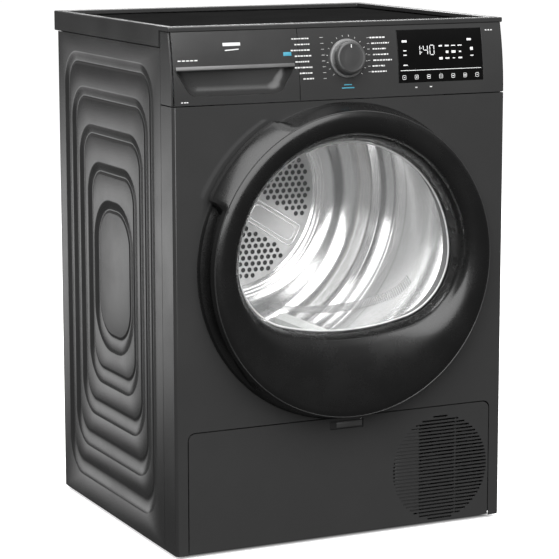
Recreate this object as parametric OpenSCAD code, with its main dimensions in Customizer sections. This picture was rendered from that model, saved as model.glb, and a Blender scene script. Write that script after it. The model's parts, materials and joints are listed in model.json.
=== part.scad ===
// Front-loading heat-pump clothes dryer, built as an assembly of separate pieces.
// Each module draws its piece with y = 0 at the front panel's outer face, x = 0 in the
// middle and z = 0 on the floor. The last lines shift it so that the whole object is
// centred on the origin. Lengths are in millimetres and angles in degrees.

/* [Cabinet] */
// Width over the top frame
cabinet_w = 597; // [590:1:720]
// Height from the floor to the top frame
cabinet_h = 846; // [840:1:1020]
// Depth from the front panel's face to the rear edge of the top
cabinet_d = 518; // [500:1:625]
// Gap between the floor and the cabinet
ground_gap = 6; // [4:1:14]
// Thickness of the sheet steel
sheet_t = 1; // [0.8:0.1:1.5]
// Thickness of moulded plastic walls
wall_t = 3; // [2.5:0.5:4]
// Depth of the wraps that turn round the sides at the front
front_wrap = 48; // [36:1:60]
// Width of the bevel on the front corners
corner_bevel = 4; // [2:1:8]
// Setback of the side faces from the top frame
side_setback = 1.5; // [1:0.5:4]
// Gap between neighbouring covers
cover_gap = 1.5; // [1:0.5:3]
// Distance from the rear edge of the top to the rear panel
rear_inset = 15; // [10:1:30]
// Depth of each pressed step in the side panels
emboss_step = 1.8; // [1:0.1:1.9]
// Height of the top frame's skirt
skirt_h = 33.5; // [28:0.5:45]
// Depth of the recess over the top board
board_recess = 9; // [4:1:12]
// Depth of the duct cover behind the rear panel
duct_d = 58; // [40:1:80]

/* [Door] */
// Radius of the door ring at the cabinet
door_r = 256; // [250:1:262]
// Radius of the door ring's front edge
door_nose_r = 241; // [236:1:245]
// How far the door stands out from the front panel
door_proud = 48; // [47:1:56]
// Height of the door's centre
door_z = 462; // [455:1:470]
// Radius of the opening's upper arc
opening_r = 192; // [180:1:196]
// Radius of the opening's lower corners
opening_corner_r = 110; // [90:1:120]
// Radius of the opening's flat lower arc
opening_floor_r = 450; // [400:1:600]
// Height of the opening's lowest point
opening_low_z = 349; // [345:1:358]
// Distance of the hinge axis from the middle
hinge_x = 236; // [232:1:238]
// How far the hinge axis stands in front of the panel
hinge_proud = 24; // [22:1:26]
// Radius of the hinge pin
hinge_pin_r = 4; // [3:0.5:5]
// Depth of the glass bowl behind the front panel
bowl_depth = 50; // [30:1:56]

/* [Drum] */
// Outer radius of the drum shell
drum_r = 280; // [272:1:281]
// Height of the drum's axis
drum_z = 515; // [512:1:520]
// Distance from the front panel to the drum's front edge
drum_front_y = 42; // [40:1:46]
// Distance from the drum shell's rear seam to the rear panel
drum_rear_gap = 84; // [78:1:95]
// Depth of the dished back
dish_depth = 38; // [25:1:44]
// Radius of the perforated disc
disc_r = 196; // [180:1:205]
// Radius of the drum shaft
shaft_r = 12; // [10:1:16]
// Height of the lifters
lifter_h = 48; // [30:1:60]

/* [Drive] */
// Height of the motor's axis
motor_z = 100; // [96:1:106]
// Distance of the motor's axis from the middle
motor_x = 60; // [50:1:66]
// Radius of the belt pulley
pulley_r = 9; // [7:1:12]
// Distance from the front panel to the belt
belt_y = 245; // [240:1:255]
// Width of the belt
belt_w = 12; // [8:1:16]
// Thickness of the belt
belt_t = 2.4; // [1.6:0.2:2.6]
// Radius of the idler pulley
idler_r = 20; // [16:1:24]
// Radius of the front support rollers
roller_r = 18; // [14:1:22]
// Angle of each front roller from straight below the drum
roller_angle = 40; // [34:1:44]
// Radius of the roller axles
axle_r = 5; // [4:0.5:6]

/* [Controls] */
// Height of the joint under the control fascia
fascia_z = 724; // [720:1:730]
// How far the fascia's top edge lies behind its bottom edge
fascia_lean = 14; // [8:1:18]
// Distance of the tank drawer's right edge from the middle
tank_edge_x = -78; // [-90:1:-70]
// Radius of the knob's base
knob_r = 31; // [26:1:33]
// How far the knob stands out
knob_h = 18; // [14:1:22]
// Distance of the knob from the middle
knob_x = 7; // [0:1:14]
// Height of the knob
knob_z = 789; // [784:1:794]
// Left edge of the display
display_x0 = 99; // [80:1:110]
// Right edge of the display
display_x1 = 256; // [230:1:262]
// Travel of the tank drawer
tank_travel = 350; // [200:1:380]

/* [Base] */
// Half the width of the kick panel
kick_half_w = 274.5; // [250:0.5:276]
// Height of the kick panel's top edge
kick_top_z = 204; // [200:1:206]
// Corner radius at the top of the kick panel
kick_corner_r = 12; // [6:1:20]
// Radius of the grille
grille_r = 89; // [70:1:90]
// Distance of the grille from the middle
grille_x = 182; // [180:1:184]
// Height of the grille's centre
grille_z = 99; // [97:1:104]
// Spacing of the grille's slots
slot_pitch = 6; // [5:0.5:9]
// Radius of the cooling fan
cooling_fan_r = 72; // [60:1:74]
// Travel of each levelling foot
foot_travel = 12; // [8:1:15]

/* [Fits] */
// Radial clearance of a shaft that runs in a bore
run_fit = 0.05; // [0.02:0.01:0.1]
// Gap between curved faces that roll or slide past each other
skim = 0.3; // [0.3:0.1:0.6]

/* [Hidden] */
$fn = 96;
hull_fn = 32;
eps = 0.01;

steel_paint = "#434343";
black_plastic = "#1c1c1c";
grey_plastic = "#5a5c5e";
light_plastic = "#c9cccc";
bare_steel = "#b8babc";
cast_metal = "#8e9093";
copper = "#b87333";
rubber = "#262626";
felt = "#d8d4c8";

side_x = cabinet_w / 2 - side_setback;
rear_y = cabinet_d - rear_inset;
rear_plane = rear_y + duct_d;
front_y = (door_proud - rear_plane) / 2;
skirt_z = cabinet_h - skirt_h;
inner_x = side_x - sheet_t - cover_gap;
emboss_depth = 5 * emboss_step;
rim_t = 8;
rim_side = 14;
rim_front = 20;
rim_front_y = fascia_lean - 1;
board_t = 10;
lifter_a = 50;
fascia_top = cabinet_h - rim_t;
board_z = cabinet_h - board_recess;
floor_z = ground_gap + 4;
panel_back = sheet_t + 0.2;

// ---------- shared shapes ----------

// Points on an arc about [cx, cz]
function arc(cx, cz, r, a0, a1, n) =
    [for (i = [0:n]) let (a = a0 + (a1 - a0) * i / n) [cx + r * cos(a), cz + r * sin(a)]];

// A solid drawn in x and z, from y0 to y1
module along_y(y0, y1) translate([0, y1, 0]) rotate([90, 0, 0]) linear_extrude(y1 - y0) children();

// A solid of revolution about a line along y through (x, z); its profile is [radius, y]
module about_y(x, z) translate([x, 0, z]) rotate([-90, 0, 0]) rotate_extrude() children();

module rod_y(x, z, r, y0, y1) translate([x, y0, z]) rotate([-90, 0, 0]) cylinder(r = r, h = y1 - y0);

module box(x0, x1, y0, y1, z0, z1) translate([x0, y0, z0]) cube([x1 - x0, y1 - y0, z1 - z0]);

// A rectangle with round corners, centred on (x, z)
module round_plate(x, z, w, h, r)
    polygon([for (c = [[1, 1, 0], [-1, 1, 90], [-1, -1, 180], [1, -1, 270]])
        each arc(x + c[0] * (w / 2 - r), z + c[1] * (h / 2 - r), r, c[2], c[2] + 90, 6)]);

// ---------- door opening ----------

opening_z = 466;
floor_centre_z = opening_low_z + opening_floor_r;
corner_a = opening_r - opening_corner_r;
corner_b = opening_floor_r - opening_corner_r;
corner_z = (floor_centre_z + opening_z) / 2
    + (corner_a * corner_a - corner_b * corner_b) / (2 * (floor_centre_z - opening_z));
corner_x = sqrt(corner_a * corner_a - pow(corner_z - opening_z, 2));
upper_a = atan2(corner_z - opening_z, corner_x);
lower_a = atan2(corner_z - floor_centre_z, corner_x);

// The outline of the opening, grown outwards by g
function opening_points(g) = concat(
    arc(0, opening_z, opening_r + g, upper_a, 180 - upper_a, 48),
    arc(-corner_x, corner_z, opening_corner_r + g, 180 - upper_a, 180 - lower_a, 14),
    arc(0, floor_centre_z, opening_floor_r + g, 180 - lower_a, 360 + lower_a, 10),
    arc(corner_x, corner_z, opening_corner_r + g, lower_a, upper_a, 14));

module opening(g) polygon(opening_points(g));

// ---------- cabinet ----------

// Outline k of the side panel: 0 is its edge and 1 to 5 are the pressed steps
panel_y0 = front_wrap + cover_gap / 2;
panel_low = ground_gap;
panel_high = skirt_z - cover_gap;
panel_mid_y = (panel_y0 + rear_y) / 2 + 1;
panel_mid_z = (panel_low + panel_high) / 2;
emboss_inset = [0, 45, 73, 101, 133, 156];
emboss_inset_z = [0, 45, 102, 163, 224, 285];
emboss_r = [0, 42, 42, 42, 42, 60];

module panel_outline(k, g) {
    w = rear_y - panel_y0 - 2 * emboss_inset[k] + 2 * g;
    h = panel_high - panel_low - 2 * emboss_inset_z[k] + 2 * g;
    if (k == 0) translate([panel_mid_y - 1, panel_mid_z]) square([w, h], center = true);
    else round_plate(panel_mid_y, panel_mid_z, w, h, emboss_r[k] + g);
}

// The outer face lies at x = 0 and the steps go towards +x
module side_sheet() rotate([90, 0, 90]) {
    for (k = [0:5]) {
        translate([0, 0, k * emboss_step]) linear_extrude(sheet_t) difference() {
            panel_outline(k, k == 0 ? 0 : sheet_t);
            if (k < 5) panel_outline(k + 1, 0);
        }
        if (k > 0) translate([0, 0, (k - 1) * emboss_step]) linear_extrude(emboss_step + sheet_t)
            difference() {
                panel_outline(k, sheet_t);
                panel_outline(k, 0);
            }
    }
}

module left_side_panel() color(steel_paint) translate([-side_x, 0, 0]) side_sheet();

module right_side_panel() color(steel_paint) mirror([1, 0, 0]) translate([-side_x, 0, 0]) side_sheet();

// Plan of the front wrap, from one side round to the other, with its face at y = 0
module wrap_plan(x, t) difference() {
    polygon([[-x, front_wrap], [-x, corner_bevel], [-x + corner_bevel, 0],
        [x - corner_bevel, 0], [x, corner_bevel], [x, front_wrap]]);
    polygon([[-x + t, front_wrap + 1], [-x + t, corner_bevel + t / 2], [-x + corner_bevel + t / 2, t],
        [x - corner_bevel - t / 2, t], [x - t, corner_bevel + t / 2], [x - t, front_wrap + 1]]);
}

module kick_outline(g) {
    w = 2 * (kick_half_w + g);
    h = kick_top_z + g;
    intersection() {
        round_plate(0, h / 2 - kick_corner_r, w, h + 2 * kick_corner_r, kick_corner_r);
        translate([-w, 0]) square([2 * w, 2 * h]);
    }
}

hook_x = -236;
hook_half_h = 7;
bracket_low = door_z - 50;
bracket_high = door_z + 50;

module front_panel() color(steel_paint) difference() {
    translate([0, 0, panel_low]) linear_extrude(fascia_z - cover_gap / 2 - panel_low)
        wrap_plan(side_x, sheet_t);
    along_y(-1, sheet_t + 1) opening(12);
    along_y(-1, sheet_t + 1) kick_outline(cover_gap);
    // slot for the door hook, and one for each hinge knuckle
    box(hook_x - 6, hook_x + 6, -1, sheet_t + 1, door_z - hook_half_h - 3, door_z + hook_half_h + 3);
    for (z = [bracket_low, bracket_high - 18])
        box(hinge_x - 5, hinge_x + 5, -1, sheet_t + 1, z - 1, z + 19);
}

fan_exit_x0 = motor_x + 60;
fan_exit_x1 = motor_x + 100;
spout_low = 190;
spout_high = 240;
inlet_x = -inner_x + 60;
spigot_x = inner_x - 60;
fitting_z = skirt_z - 60;
vent_r = 42;
inlet_r = 10.7;
spigot_body_r = 8.7;
spigot_r = 7;
gland_r = 5;

module rear_panel() color(bare_steel) difference() {
    box(-inner_x, inner_x, rear_y - sheet_t, rear_y, panel_low, skirt_z - cover_gap);
    for (a = [0:60:300]) rod_y(120 * cos(a), drum_z + 120 * sin(a), vent_r, rear_y - 5, rear_y + 5);
    rod_y(0, drum_z, shaft_r + 1, rear_y - 5, rear_y + 5);
    box(fan_exit_x0 + wall_t, fan_exit_x1 - wall_t, rear_y - 5, rear_y + 5,
        spout_low + wall_t, spout_high - wall_t);
    rod_y(inlet_x, fitting_z, inlet_r + skim, rear_y - 5, rear_y + 5);
    rod_y(spigot_x, fitting_z, spigot_body_r + skim, rear_y - 5, rear_y + 5);
}

duct_r = 200;
duct_leg_low = 180;

module duct_solid(g, d) {
    rod_y(0, drum_z, duct_r - g, rear_y, rear_y + d);
    box(fan_exit_x0 - 20 + g, fan_exit_x1 + 10 - g, rear_y, rear_y + d, duct_leg_low + g, drum_z);
}

module rear_duct_cover() color(bare_steel) {
    difference() {
        union() {
            duct_solid(0, duct_d);
            duct_solid(-12, sheet_t);
        }
        translate([0, -eps, 0]) duct_solid(sheet_t, duct_d - sheet_t);
    }
}

module top_frame() color(steel_paint) {
    half = cabinet_w / 2;
    difference() {
        union() {
            box(-half, half, rim_front_y, cabinet_d, fascia_top, cabinet_h);
            box(-half, half, front_wrap + cover_gap / 2, cabinet_d, skirt_z, fascia_top + eps);
        }
        box(-half + rim_side, half - rim_side, rim_front_y + rim_front, cabinet_d - rim_side,
            fascia_top - 1, cabinet_h + 1);
        box(-half + wall_t, half - wall_t, 0, cabinet_d - wall_t, skirt_z - 1, fascia_top);
    }
    // ledge that the board rests on
    difference() {
        box(-half + wall_t - eps, half - wall_t + eps, front_wrap + 2, cabinet_d - wall_t + eps,
            board_z - board_t - wall_t, board_z - board_t);
        box(-half + rim_side + 10, half - rim_side - 10, front_wrap - 1, cabinet_d - rim_side - 10,
            board_z - board_t - wall_t - 1, board_z);
    }
}

module top_board() color(black_plastic) {
    half = cabinet_w / 2;
    box(-half + rim_side + 0.3, half - rim_side - 0.3, rim_front_y + rim_front + 0.3,
        cabinet_d - rim_side - 0.3, board_z - board_t, board_z);
}

module foot_socket(x, y) translate([x, y, floor_z - 4]) cylinder(r = 16, h = 26);

foot_in = 45;
foot_front_y = 90;
feet = [for (y = [foot_front_y, rear_y - foot_in]) for (s = [-1, 1]) [s * (inner_x - foot_in), y]];
foot_stem_r = 6;
foot_r = 20;

tray_h = 60;
tray_x = side_x - sheet_t - emboss_step - 0.7;
lug_x = kick_half_w - 14;
lug_r = 6;
kick_pivot_y = 9;
kick_pivot_z = 13.5;
kick_pin_r = 3;

// A cylinder of length l on the kick panel's hinge axis, at one of its lugs
module kick_axle(s, r, l) translate([s * lug_x, kick_pivot_y, kick_pivot_z]) rotate([0, 90, 0])
    cylinder(r = r, h = l, center = true);

module base_tray() color(light_plastic) difference() {
    union() {
        difference() {
            box(-tray_x, tray_x, bulk_y, rear_y - 2, ground_gap, tray_h);
            box(-tray_x + wall_t, tray_x - wall_t, bulk_y + wall_t, rear_y - 2 - wall_t,
                floor_z, tray_h + 1);
        }
        for (f = feet) foot_socket(f[0], f[1]);
        // lugs that carry the kick panel's hinge pins
        for (s = [-1, 1]) difference() {
            union() {
                box(s * lug_x - 4, s * lug_x + 4, kick_pivot_y, bulk_y + 1, 8, kick_pivot_z + lug_r);
                kick_axle(s, lug_r, 8);
            }
            kick_axle(s, kick_pin_r + run_fit, 30);
        }
        // compressor plinth
        translate([compressor_x, compressor_y, floor_z - eps]) cylinder(r = compressor_r - 8, h = 8);
        // motor cradles
        for (y = [motor_y0 + 14, motor_y1 - 24]) difference() {
            box(motor_x - 40, motor_x + 40, y, y + 10, floor_z - eps, motor_z - 20);
            rod_y(motor_x, motor_z, motor_r + 0.2, y - 1, y + 11);
        }
    }
    for (f = feet) translate([f[0], f[1], 0]) cylinder(r = foot_stem_r + run_fit, h = 60);
}

module foot(k) color(rubber) translate([feet[k][0], feet[k][1], 0]) {
    difference() {
        cylinder(r = foot_r, h = ground_gap - 0.5);
        translate([0, 0, -1]) cylinder(r = foot_r - 6, h = 1.6);
    }
    translate([0, 0, 1]) cylinder(r = foot_stem_r, h = 42);
}

// ---------- control fascia ----------

function face_y(z) = fascia_lean * pow((z - fascia_z) / (fascia_top - fascia_z), 2);

function face_points(z0, z1, back) =
    [for (i = [0:10]) let (z = z0 + (z1 - z0) * i / 10) [face_y(z) + back, z]];

function reversed(p) = [for (i = [len(p) - 1:-1:0]) p[i]];

// A curved plate that follows the fascia's face, from back0 to back1 behind it
module face_plate(x0, x1, z0, z1, back0, back1) translate([x0, 0, 0]) rotate([90, 0, 90])
    linear_extrude(x1 - x0)
        polygon(concat(face_points(z0, z1, back0), reversed(face_points(z0, z1, back1))));

rail_z = board_z - board_t - wall_t - 1;
display_low = 746;
display_high = 830;
fascia_low = fascia_z + cover_gap / 2;
fascia_high = fascia_top - 0.3;
knob_tilt = atan(2 * fascia_lean * (knob_z - fascia_z) / pow(fascia_top - fascia_z, 2));

module at_knob() translate([knob_x, face_y(knob_z), knob_z]) rotate([90 - knob_tilt, 0, 0]) children();

module cheek() translate([-side_x, 0, 0]) rotate([90, 0, 90]) linear_extrude(wall_t)
    polygon(concat([[front_wrap, fascia_low]], face_points(fascia_low, fascia_high, corner_bevel),
        [[front_wrap, fascia_high]]));

module control_fascia() color(steel_paint) difference() {
    union() {
        face_plate(tank_edge_x + 0.5, side_x - corner_bevel, fascia_low, fascia_high, 0, wall_t);
        // bevelled right corner
        face_plate(side_x - corner_bevel - wall_t, side_x - wall_t + 0.5, fascia_low, fascia_high,
            corner_bevel / 2, corner_bevel + wall_t);
        cheek();
        mirror([1, 0, 0]) cheek();
        // rails that carry the left cheek, under and over the drawer
        box(-side_x + 1, tank_edge_x + 10, wall_t + 2, bulk_y - 2, fascia_low, fascia_low + wall_t);
        box(-side_x + 1, side_x - 1, 30, front_wrap - 2, rail_z - wall_t, rail_z);
        // web beside the tank
        box(tank_edge_x + 0.5, tank_edge_x + 0.5 + wall_t, wall_t / 2, bulk_y - 2,
            fascia_low, fascia_low + 12);
        box(tank_edge_x + 0.5, tank_edge_x + 0.5 + wall_t, fascia_lean - 1, front_wrap - 2,
            rail_z - 12, rail_z);
        // foot that carries the right cheek
        box(side_x - corner_bevel - wall_t - 4, side_x - 1, corner_bevel + 2, 34,
            fascia_low, fascia_low + wall_t);
    }
    face_plate(display_x0 - skim, display_x1 + skim, display_low - skim, display_high + skim, -1, 2.2);
    at_knob() cylinder(r = 8, h = 60, center = true);
}

module display_window() color("#050505")
    face_plate(display_x0, display_x1, display_low, display_high, -0.4, 1.9);

encoder_r = 11;
board_y = 17;
knob_stem_r = 3;
chip_x = [-34, 44, 66];

module control_board() color("#1d5b35") difference() {
    union() {
        box(-50, display_x1 + 6, board_y, board_y + 2, fascia_low + 14, rail_z - 14);
        // display module, the dial's encoder and the tallest parts
        box(display_x0 + 8, display_x1 - 8, 13, board_y + eps, display_low + 10, display_low + 48);
        at_knob() translate([0, 0, -15]) cylinder(r = encoder_r, h = 10);
        for (x = chip_x) box(x, x + 14, 12, board_y + eps, display_low + 2, display_low + 16);
    }
    at_knob() cylinder(r = knob_stem_r + run_fit, h = 120, center = true);
}

module selector_knob() color(cast_metal) at_knob() {
    rotate_extrude() polygon([[0, 6], [knob_r - 6, 6], [knob_r - 3, 0.4], [knob_r, 0.4], [knob_r, 2],
        [knob_r - 5, knob_h - 4], [knob_r - 8, knob_h], [0, knob_h]]);
    translate([0, 0, -14]) cylinder(r = knob_stem_r, h = 21);
}

// ---------- water tank ----------

tank_y0 = 22;
tank_y1 = 400;
tank_gap = 1.5;
tank_x0 = -side_x + 9;

tank_x1 = -95;
tank_top = 804;
tank_low = 736;

// Section of the tank, grown by g; its sloping underside follows the drum
function tank_section(g) = [[tank_x0 - g, tank_top + g], [tank_x1 + g, tank_top + g],
    [tank_x1 + g, tank_top - 7 - g], [tank_x1 - 55, tank_top - 34 - g],
    [tank_x1 - 110, tank_low - g], [tank_x0 - g, tank_low - g]];

module tank_housing() color(light_plastic) difference() {
    along_y(38, tank_y1 + 6) polygon(tank_section(tank_gap + 2));
    along_y(30, tank_y1 + 4) polygon(tank_section(tank_gap));
    // clears the rails of the fascia
    box(-cabinet_w, 0, 20, front_wrap - 1, fascia_low - 1, fascia_low + 4);
}

module tank_body() color("#aeb4b6") difference() {
    along_y(tank_y0, tank_y1) polygon(tank_section(0));
    along_y(tank_y0 + 2, tank_y1 - 2) polygon(tank_section(-2));
    // filling hole in the roof, towards the rear
    translate([-200, tank_y1 - 60, tank_top - 14]) cylinder(r = 14, h = 30);
}

pocket_back = 19;
handle_x0 = -290;
handle_x1 = -87;
handle_low = 738;
handle_high = 779;
handle_r = 22;
lip_high = 785;

// The mouth of the handle recess: straight at the top, with round lower corners
module handle_mouth(g) polygon(concat([[handle_x0 - g, handle_high + g], [handle_x0 - g, handle_high]],
    arc(handle_x0 + 36, handle_low + handle_r, handle_r + g, 200, 270, 6),
    arc(handle_x1 - 36, handle_low + handle_r, handle_r + g, 270, 340, 6),
    [[handle_x1 + g, handle_high], [handle_x1 + g, handle_high + g]]));

module tank_front() color(steel_paint) {
    difference() {
        union() {
            face_plate(-side_x + wall_t + 0.5, tank_edge_x - cover_gap / 2,
                fascia_low, fascia_high, 0, wall_t);
            along_y(6, pocket_back + wall_t - 1) intersection() {
                handle_mouth(2.2);
                translate([-cabinet_w, fascia_low]) square([cabinet_w, handle_high + 2 - fascia_low]);
            }
        }
        along_y(-2, pocket_back) handle_mouth(0);
    }
    // lip bar over the recess, and the block that joins the front to the tank
    face_plate(handle_x0, handle_x1, handle_high, lip_high, -1.5, 12);
    box(-250, -130, 8, tank_y0, lip_high + 5, tank_top - 2);
}

// ---------- front bulkhead ----------

bulk_y = 22;
neck_r = drum_r - 16;
roller_d = drum_r + skim + roller_r;
roller_pos = [for (s = [-1, 1])
    [s * roller_d * sin(roller_angle), drum_z - roller_d * cos(roller_angle)]];

module front_bulkhead() color(light_plastic) difference() {
    union() {
        rod_y(0, drum_z, drum_r + 4, bulk_y, bulk_y + 4);
        difference() {
            rod_y(0, drum_z, neck_r, bulk_y, drum_front_y + 18);
            rod_y(0, drum_z, neck_r - wall_t, bulk_y, drum_front_y + 19);
        }
        // bosses that hold the roller axles
        for (p = roller_pos) {
            rod_y(p[0], p[1], axle_r + 5, bulk_y, drum_front_y + 2);
            rod_y(p[0], p[1], axle_r + 22, bulk_y, bulk_y + 4);
        }
        along_y(3, bulk_y + 1) opening(10);
        // legs that stand on the base
        for (x = [-75, 75]) box(x - 15, x + 15, bulk_y, bulk_y + 4, tray_h, 260);
    }
    along_y(2, bulk_y + 10) opening(6);
    for (p = roller_pos) rod_y(p[0], p[1], axle_r, bulk_y - 5, drum_front_y + 10);
    // slot for the lint filter in the opening's floor
    box(-filter_half_w - 1, filter_half_w + 1, filter_y0 - 1, filter_y1 + 1,
        filter_low - 15, opening_low_z + 10);
}

filter_half_w = 105;
filter_y0 = 6;
filter_y1 = 20;
filter_low = 285;

// Lint filter: a frame with slanted bars that drops into the floor of the opening
module lint_filter() color(grey_plastic) {
    difference() {
        box(-filter_half_w, filter_half_w, filter_y0, filter_y1, filter_low, opening_low_z - 8);
        box(-filter_half_w + 4, filter_half_w - 4, filter_y0 + 2, filter_y1 - 2,
            filter_low + 3, opening_low_z + 1);
        for (x = [-filter_half_w + 10:24:filter_half_w - 20])
            box(x, x + 18, filter_y0 - 1, filter_y1 + 1, filter_low + 7, opening_low_z - 16);
    }
    for (x = [-filter_half_w + 12:12:filter_half_w - 12])
        box(x - 1.5, x + 1.5, filter_y0 + 1, filter_y1 - 1, opening_low_z - 11, opening_low_z - 8);
}

module roller_axles() color(bare_steel) for (p = roller_pos)
    rod_y(p[0], p[1], axle_r, bulk_y, drum_front_y + 22);

module roller(k) color(grey_plastic) difference() {
    rod_y(roller_pos[k][0], roller_pos[k][1], roller_r, drum_front_y + 4, drum_front_y + 18);
    rod_y(roller_pos[k][0], roller_pos[k][1], axle_r + run_fit, drum_front_y, drum_front_y + 20);
}

module left_roller() roller(0);

module right_roller() roller(1);

module drum_seals() color(felt) {
    difference() {
        rod_y(0, drum_z, drum_r - 1, bulk_y + 4, drum_front_y - skim);
        rod_y(0, drum_z, neck_r + 0.2, bulk_y, drum_front_y);
    }
    difference() {
        rod_y(0, drum_z, disc_r + 4, disc_y + skim + 2, rear_y - sheet_t);
        rod_y(0, drum_z, disc_r - 6, disc_y, rear_y);
    }
}

// ---------- drum ----------

seam_y = rear_y - drum_rear_gap;
disc_y = seam_y + dish_depth;
drum_in = drum_r - sheet_t;

module drum_shell() color(bare_steel) about_y(0, drum_z) polygon([
    [drum_r, drum_front_y], [drum_r, seam_y], [drum_in, seam_y], [drum_in, drum_front_y]]);

// The camera side of the disc: three fields of holes between three flat spokes
spoke_a = -32;
hole_pitch = 26;
hole_r = 8;

module drum_back() color(bare_steel) difference() {
    about_y(0, drum_z) polygon([[drum_in - 0.02, seam_y - 12], [drum_in - 0.02, seam_y + 1],
        [disc_r + 10, disc_y], [disc_r, disc_y + 1], [0, disc_y + 1], [0, disc_y], [disc_r, disc_y],
        [disc_r + 9, disc_y - 2], [drum_in - 1.2, seam_y], [drum_in - 1.2, seam_y - 12]]);
    for (s = [0:120:240]) for (r = [60:hole_pitch:164]) let (n = floor(r / hole_pitch) + 1)
        for (i = [0:n - 1])
            let (a = spoke_a + s + 60 + (i - (n - 1) / 2) * hole_pitch * 180 / (PI * r))
                rod_y(r * cos(a), drum_z + r * sin(a), hole_r, disc_y - 5, disc_y + 5);
}

module drum_lifters() color(light_plastic) for (k = [0:2]) translate([0, 0, drum_z])
    rotate([0, -(lifter_a + 120 * k), 0]) translate([0, seam_y - 14, 0]) rotate([90, 0, 0])
        linear_extrude(seam_y - 14 - drum_front_y - 24) polygon([[drum_in - 2, -32],
            [drum_in - lifter_h, -10], [drum_in - lifter_h - 3, 0], [drum_in - lifter_h, 10],
            [drum_in - 2, 32]]);

module drum_shaft() color(cast_metal) {
    rod_y(0, drum_z, 46, disc_y + 1.2, disc_y + 6);
    rod_y(0, drum_z, shaft_r, disc_y + 5, rear_y + 10);
}

module rear_bearing() color(cast_metal) difference() {
    union() {
        rod_y(0, drum_z, shaft_r + 12, rear_y - 24, rear_y - sheet_t);
        rod_y(0, drum_z, 60, rear_y - sheet_t - 3, rear_y - sheet_t);
    }
    rod_y(0, drum_z, shaft_r + run_fit, disc_y, rear_y + 10);
}

// ---------- drive ----------

motor_y0 = belt_y + 20;
motor_y1 = motor_y0 + 104;
motor_r = 54;
rotor_r = 34;
motor_shaft_r = 8;
idler_pin_r = 4;
idler_pos = [motor_x - 85, motor_z + 60];
belt_ro = drum_r + skim;

// Angle of the tangent point on circle 1 for a line that keeps circle 1 on one side;
// the second circle lies on the same side when same = 1 and on the other when same = -1
function tangent_a(p, rp, q, rq, side, same) =
    let (d = norm(q - p), base = atan2(q[1] - p[1], q[0] - p[0]))
        base + side * acos((rp - same * rq) / d);

drum_c = [0, drum_z];
motor_c = [motor_x, motor_z];
belt_half = belt_t / 2;
drum_br = belt_ro + belt_half;
motor_br = pulley_r + skim + belt_half;
idler_br = idler_r + skim + belt_half;
right_a = tangent_a(drum_c, drum_br, motor_c, motor_br, 1, 1);
left_a = tangent_a(drum_c, drum_br, idler_pos, idler_br, -1, -1);
slack_a = tangent_a(motor_c, motor_br, idler_pos, idler_br, 1, -1);

// Centre line of the belt: round the drum, over the back of the idler, round the pulley
belt_path = concat(
    arc(drum_c[0], drum_c[1], drum_br, right_a, 360 + left_a, 60),
    arc(idler_pos[0], idler_pos[1], idler_br, left_a + 180, slack_a - 180, 6),
    arc(motor_c[0], motor_c[1], motor_br, slack_a, right_a + 360, 14));

function wrapped(p, i) = p[(i + len(p)) % len(p)];

function belt_side(g) = [for (i = [0:len(belt_path) - 1])
    let (d = wrapped(belt_path, i + 1) - wrapped(belt_path, i - 1))
        belt_path[i] + g * [d[1], -d[0]] / norm(d)];

module drive_belt() color(rubber) along_y(belt_y - belt_w / 2, belt_y + belt_w / 2) difference() {
    polygon(belt_side(belt_half));
    polygon(belt_side(-belt_half));
}

module motor_stator() color(cast_metal) difference() {
    union() {
        rod_y(motor_x, motor_z, motor_r, motor_y0, motor_y1);
        rod_y(motor_x, motor_z, 16, motor_y0 - 8, motor_y0 + 1);
    }
    rod_y(motor_x, motor_z, motor_shaft_r + run_fit, motor_y0 - 10, motor_y1 + 10);
    rod_y(motor_x, motor_z, rotor_r + skim, motor_y0 + 6, motor_y1 - 6);
}

module motor_rotor() color(bare_steel) {
    rod_y(motor_x, motor_z, motor_shaft_r, belt_y - belt_w / 2 - 4, motor_y1 + 46);
    rod_y(motor_x, motor_z, rotor_r, motor_y0 + 12, motor_y1 - 12);
    rod_y(motor_x, motor_z, pulley_r, belt_y - belt_w / 2 - 2, belt_y + belt_w / 2 + 2);
    for (y = [belt_y - belt_w / 2 - 3, belt_y + belt_w / 2 + 1])
        rod_y(motor_x, motor_z, pulley_r + 4, y, y + 2);
}

fan_y0 = motor_y1 + 14;
fan_y1 = motor_y1 + 44;
fan_r = 78;

module process_fan() color(black_plastic) difference() {
    union() {
        rod_y(motor_x, motor_z, 16, fan_y0, fan_y1);
        rod_y(motor_x, motor_z, fan_r, fan_y0, fan_y0 + 2);
        for (a = [0:20:340]) translate([motor_x, fan_y0, motor_z]) rotate([0, a, 0])
            translate([54, 0, -1]) rotate([0, 30, 0]) cube([24, fan_y1 - fan_y0, 2]);
    }
    rod_y(motor_x, motor_z, motor_shaft_r, fan_y0 - 5, fan_y1 + 5);
}

arm_pivot = [motor_x - 85, motor_z - 66];
arm_pivot_r = 5;

module idler_arm() color(bare_steel) {
    difference() {
        union() {
            along_y(belt_y + 12, belt_y + 15) hull() {
                translate(arm_pivot) circle(r = 12, $fn = hull_fn);
                translate(idler_pos) circle(r = 10, $fn = hull_fn);
            }
            rod_y(arm_pivot[0], arm_pivot[1], 11, belt_y + 10, belt_y + 17);
        }
        rod_y(arm_pivot[0], arm_pivot[1], arm_pivot_r + run_fit, belt_y, belt_y + 30);
    }
    rod_y(idler_pos[0], idler_pos[1], idler_pin_r, belt_y - belt_w / 2 - 4, belt_y + 13);
}

module idler_pulley() color(black_plastic) difference() {
    rod_y(idler_pos[0], idler_pos[1], idler_r, belt_y - belt_w / 2 - 2, belt_y + belt_w / 2 + 2);
    rod_y(idler_pos[0], idler_pos[1], idler_pin_r + run_fit, belt_y - 20, belt_y + 20);
}

spring_z = arm_pivot[1] + 26;

// Closed envelope of the coil that pulls the arm against the belt
spring_x0 = idler_pos[0] + 12;
spring_x1 = motor_x - 42;

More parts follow.
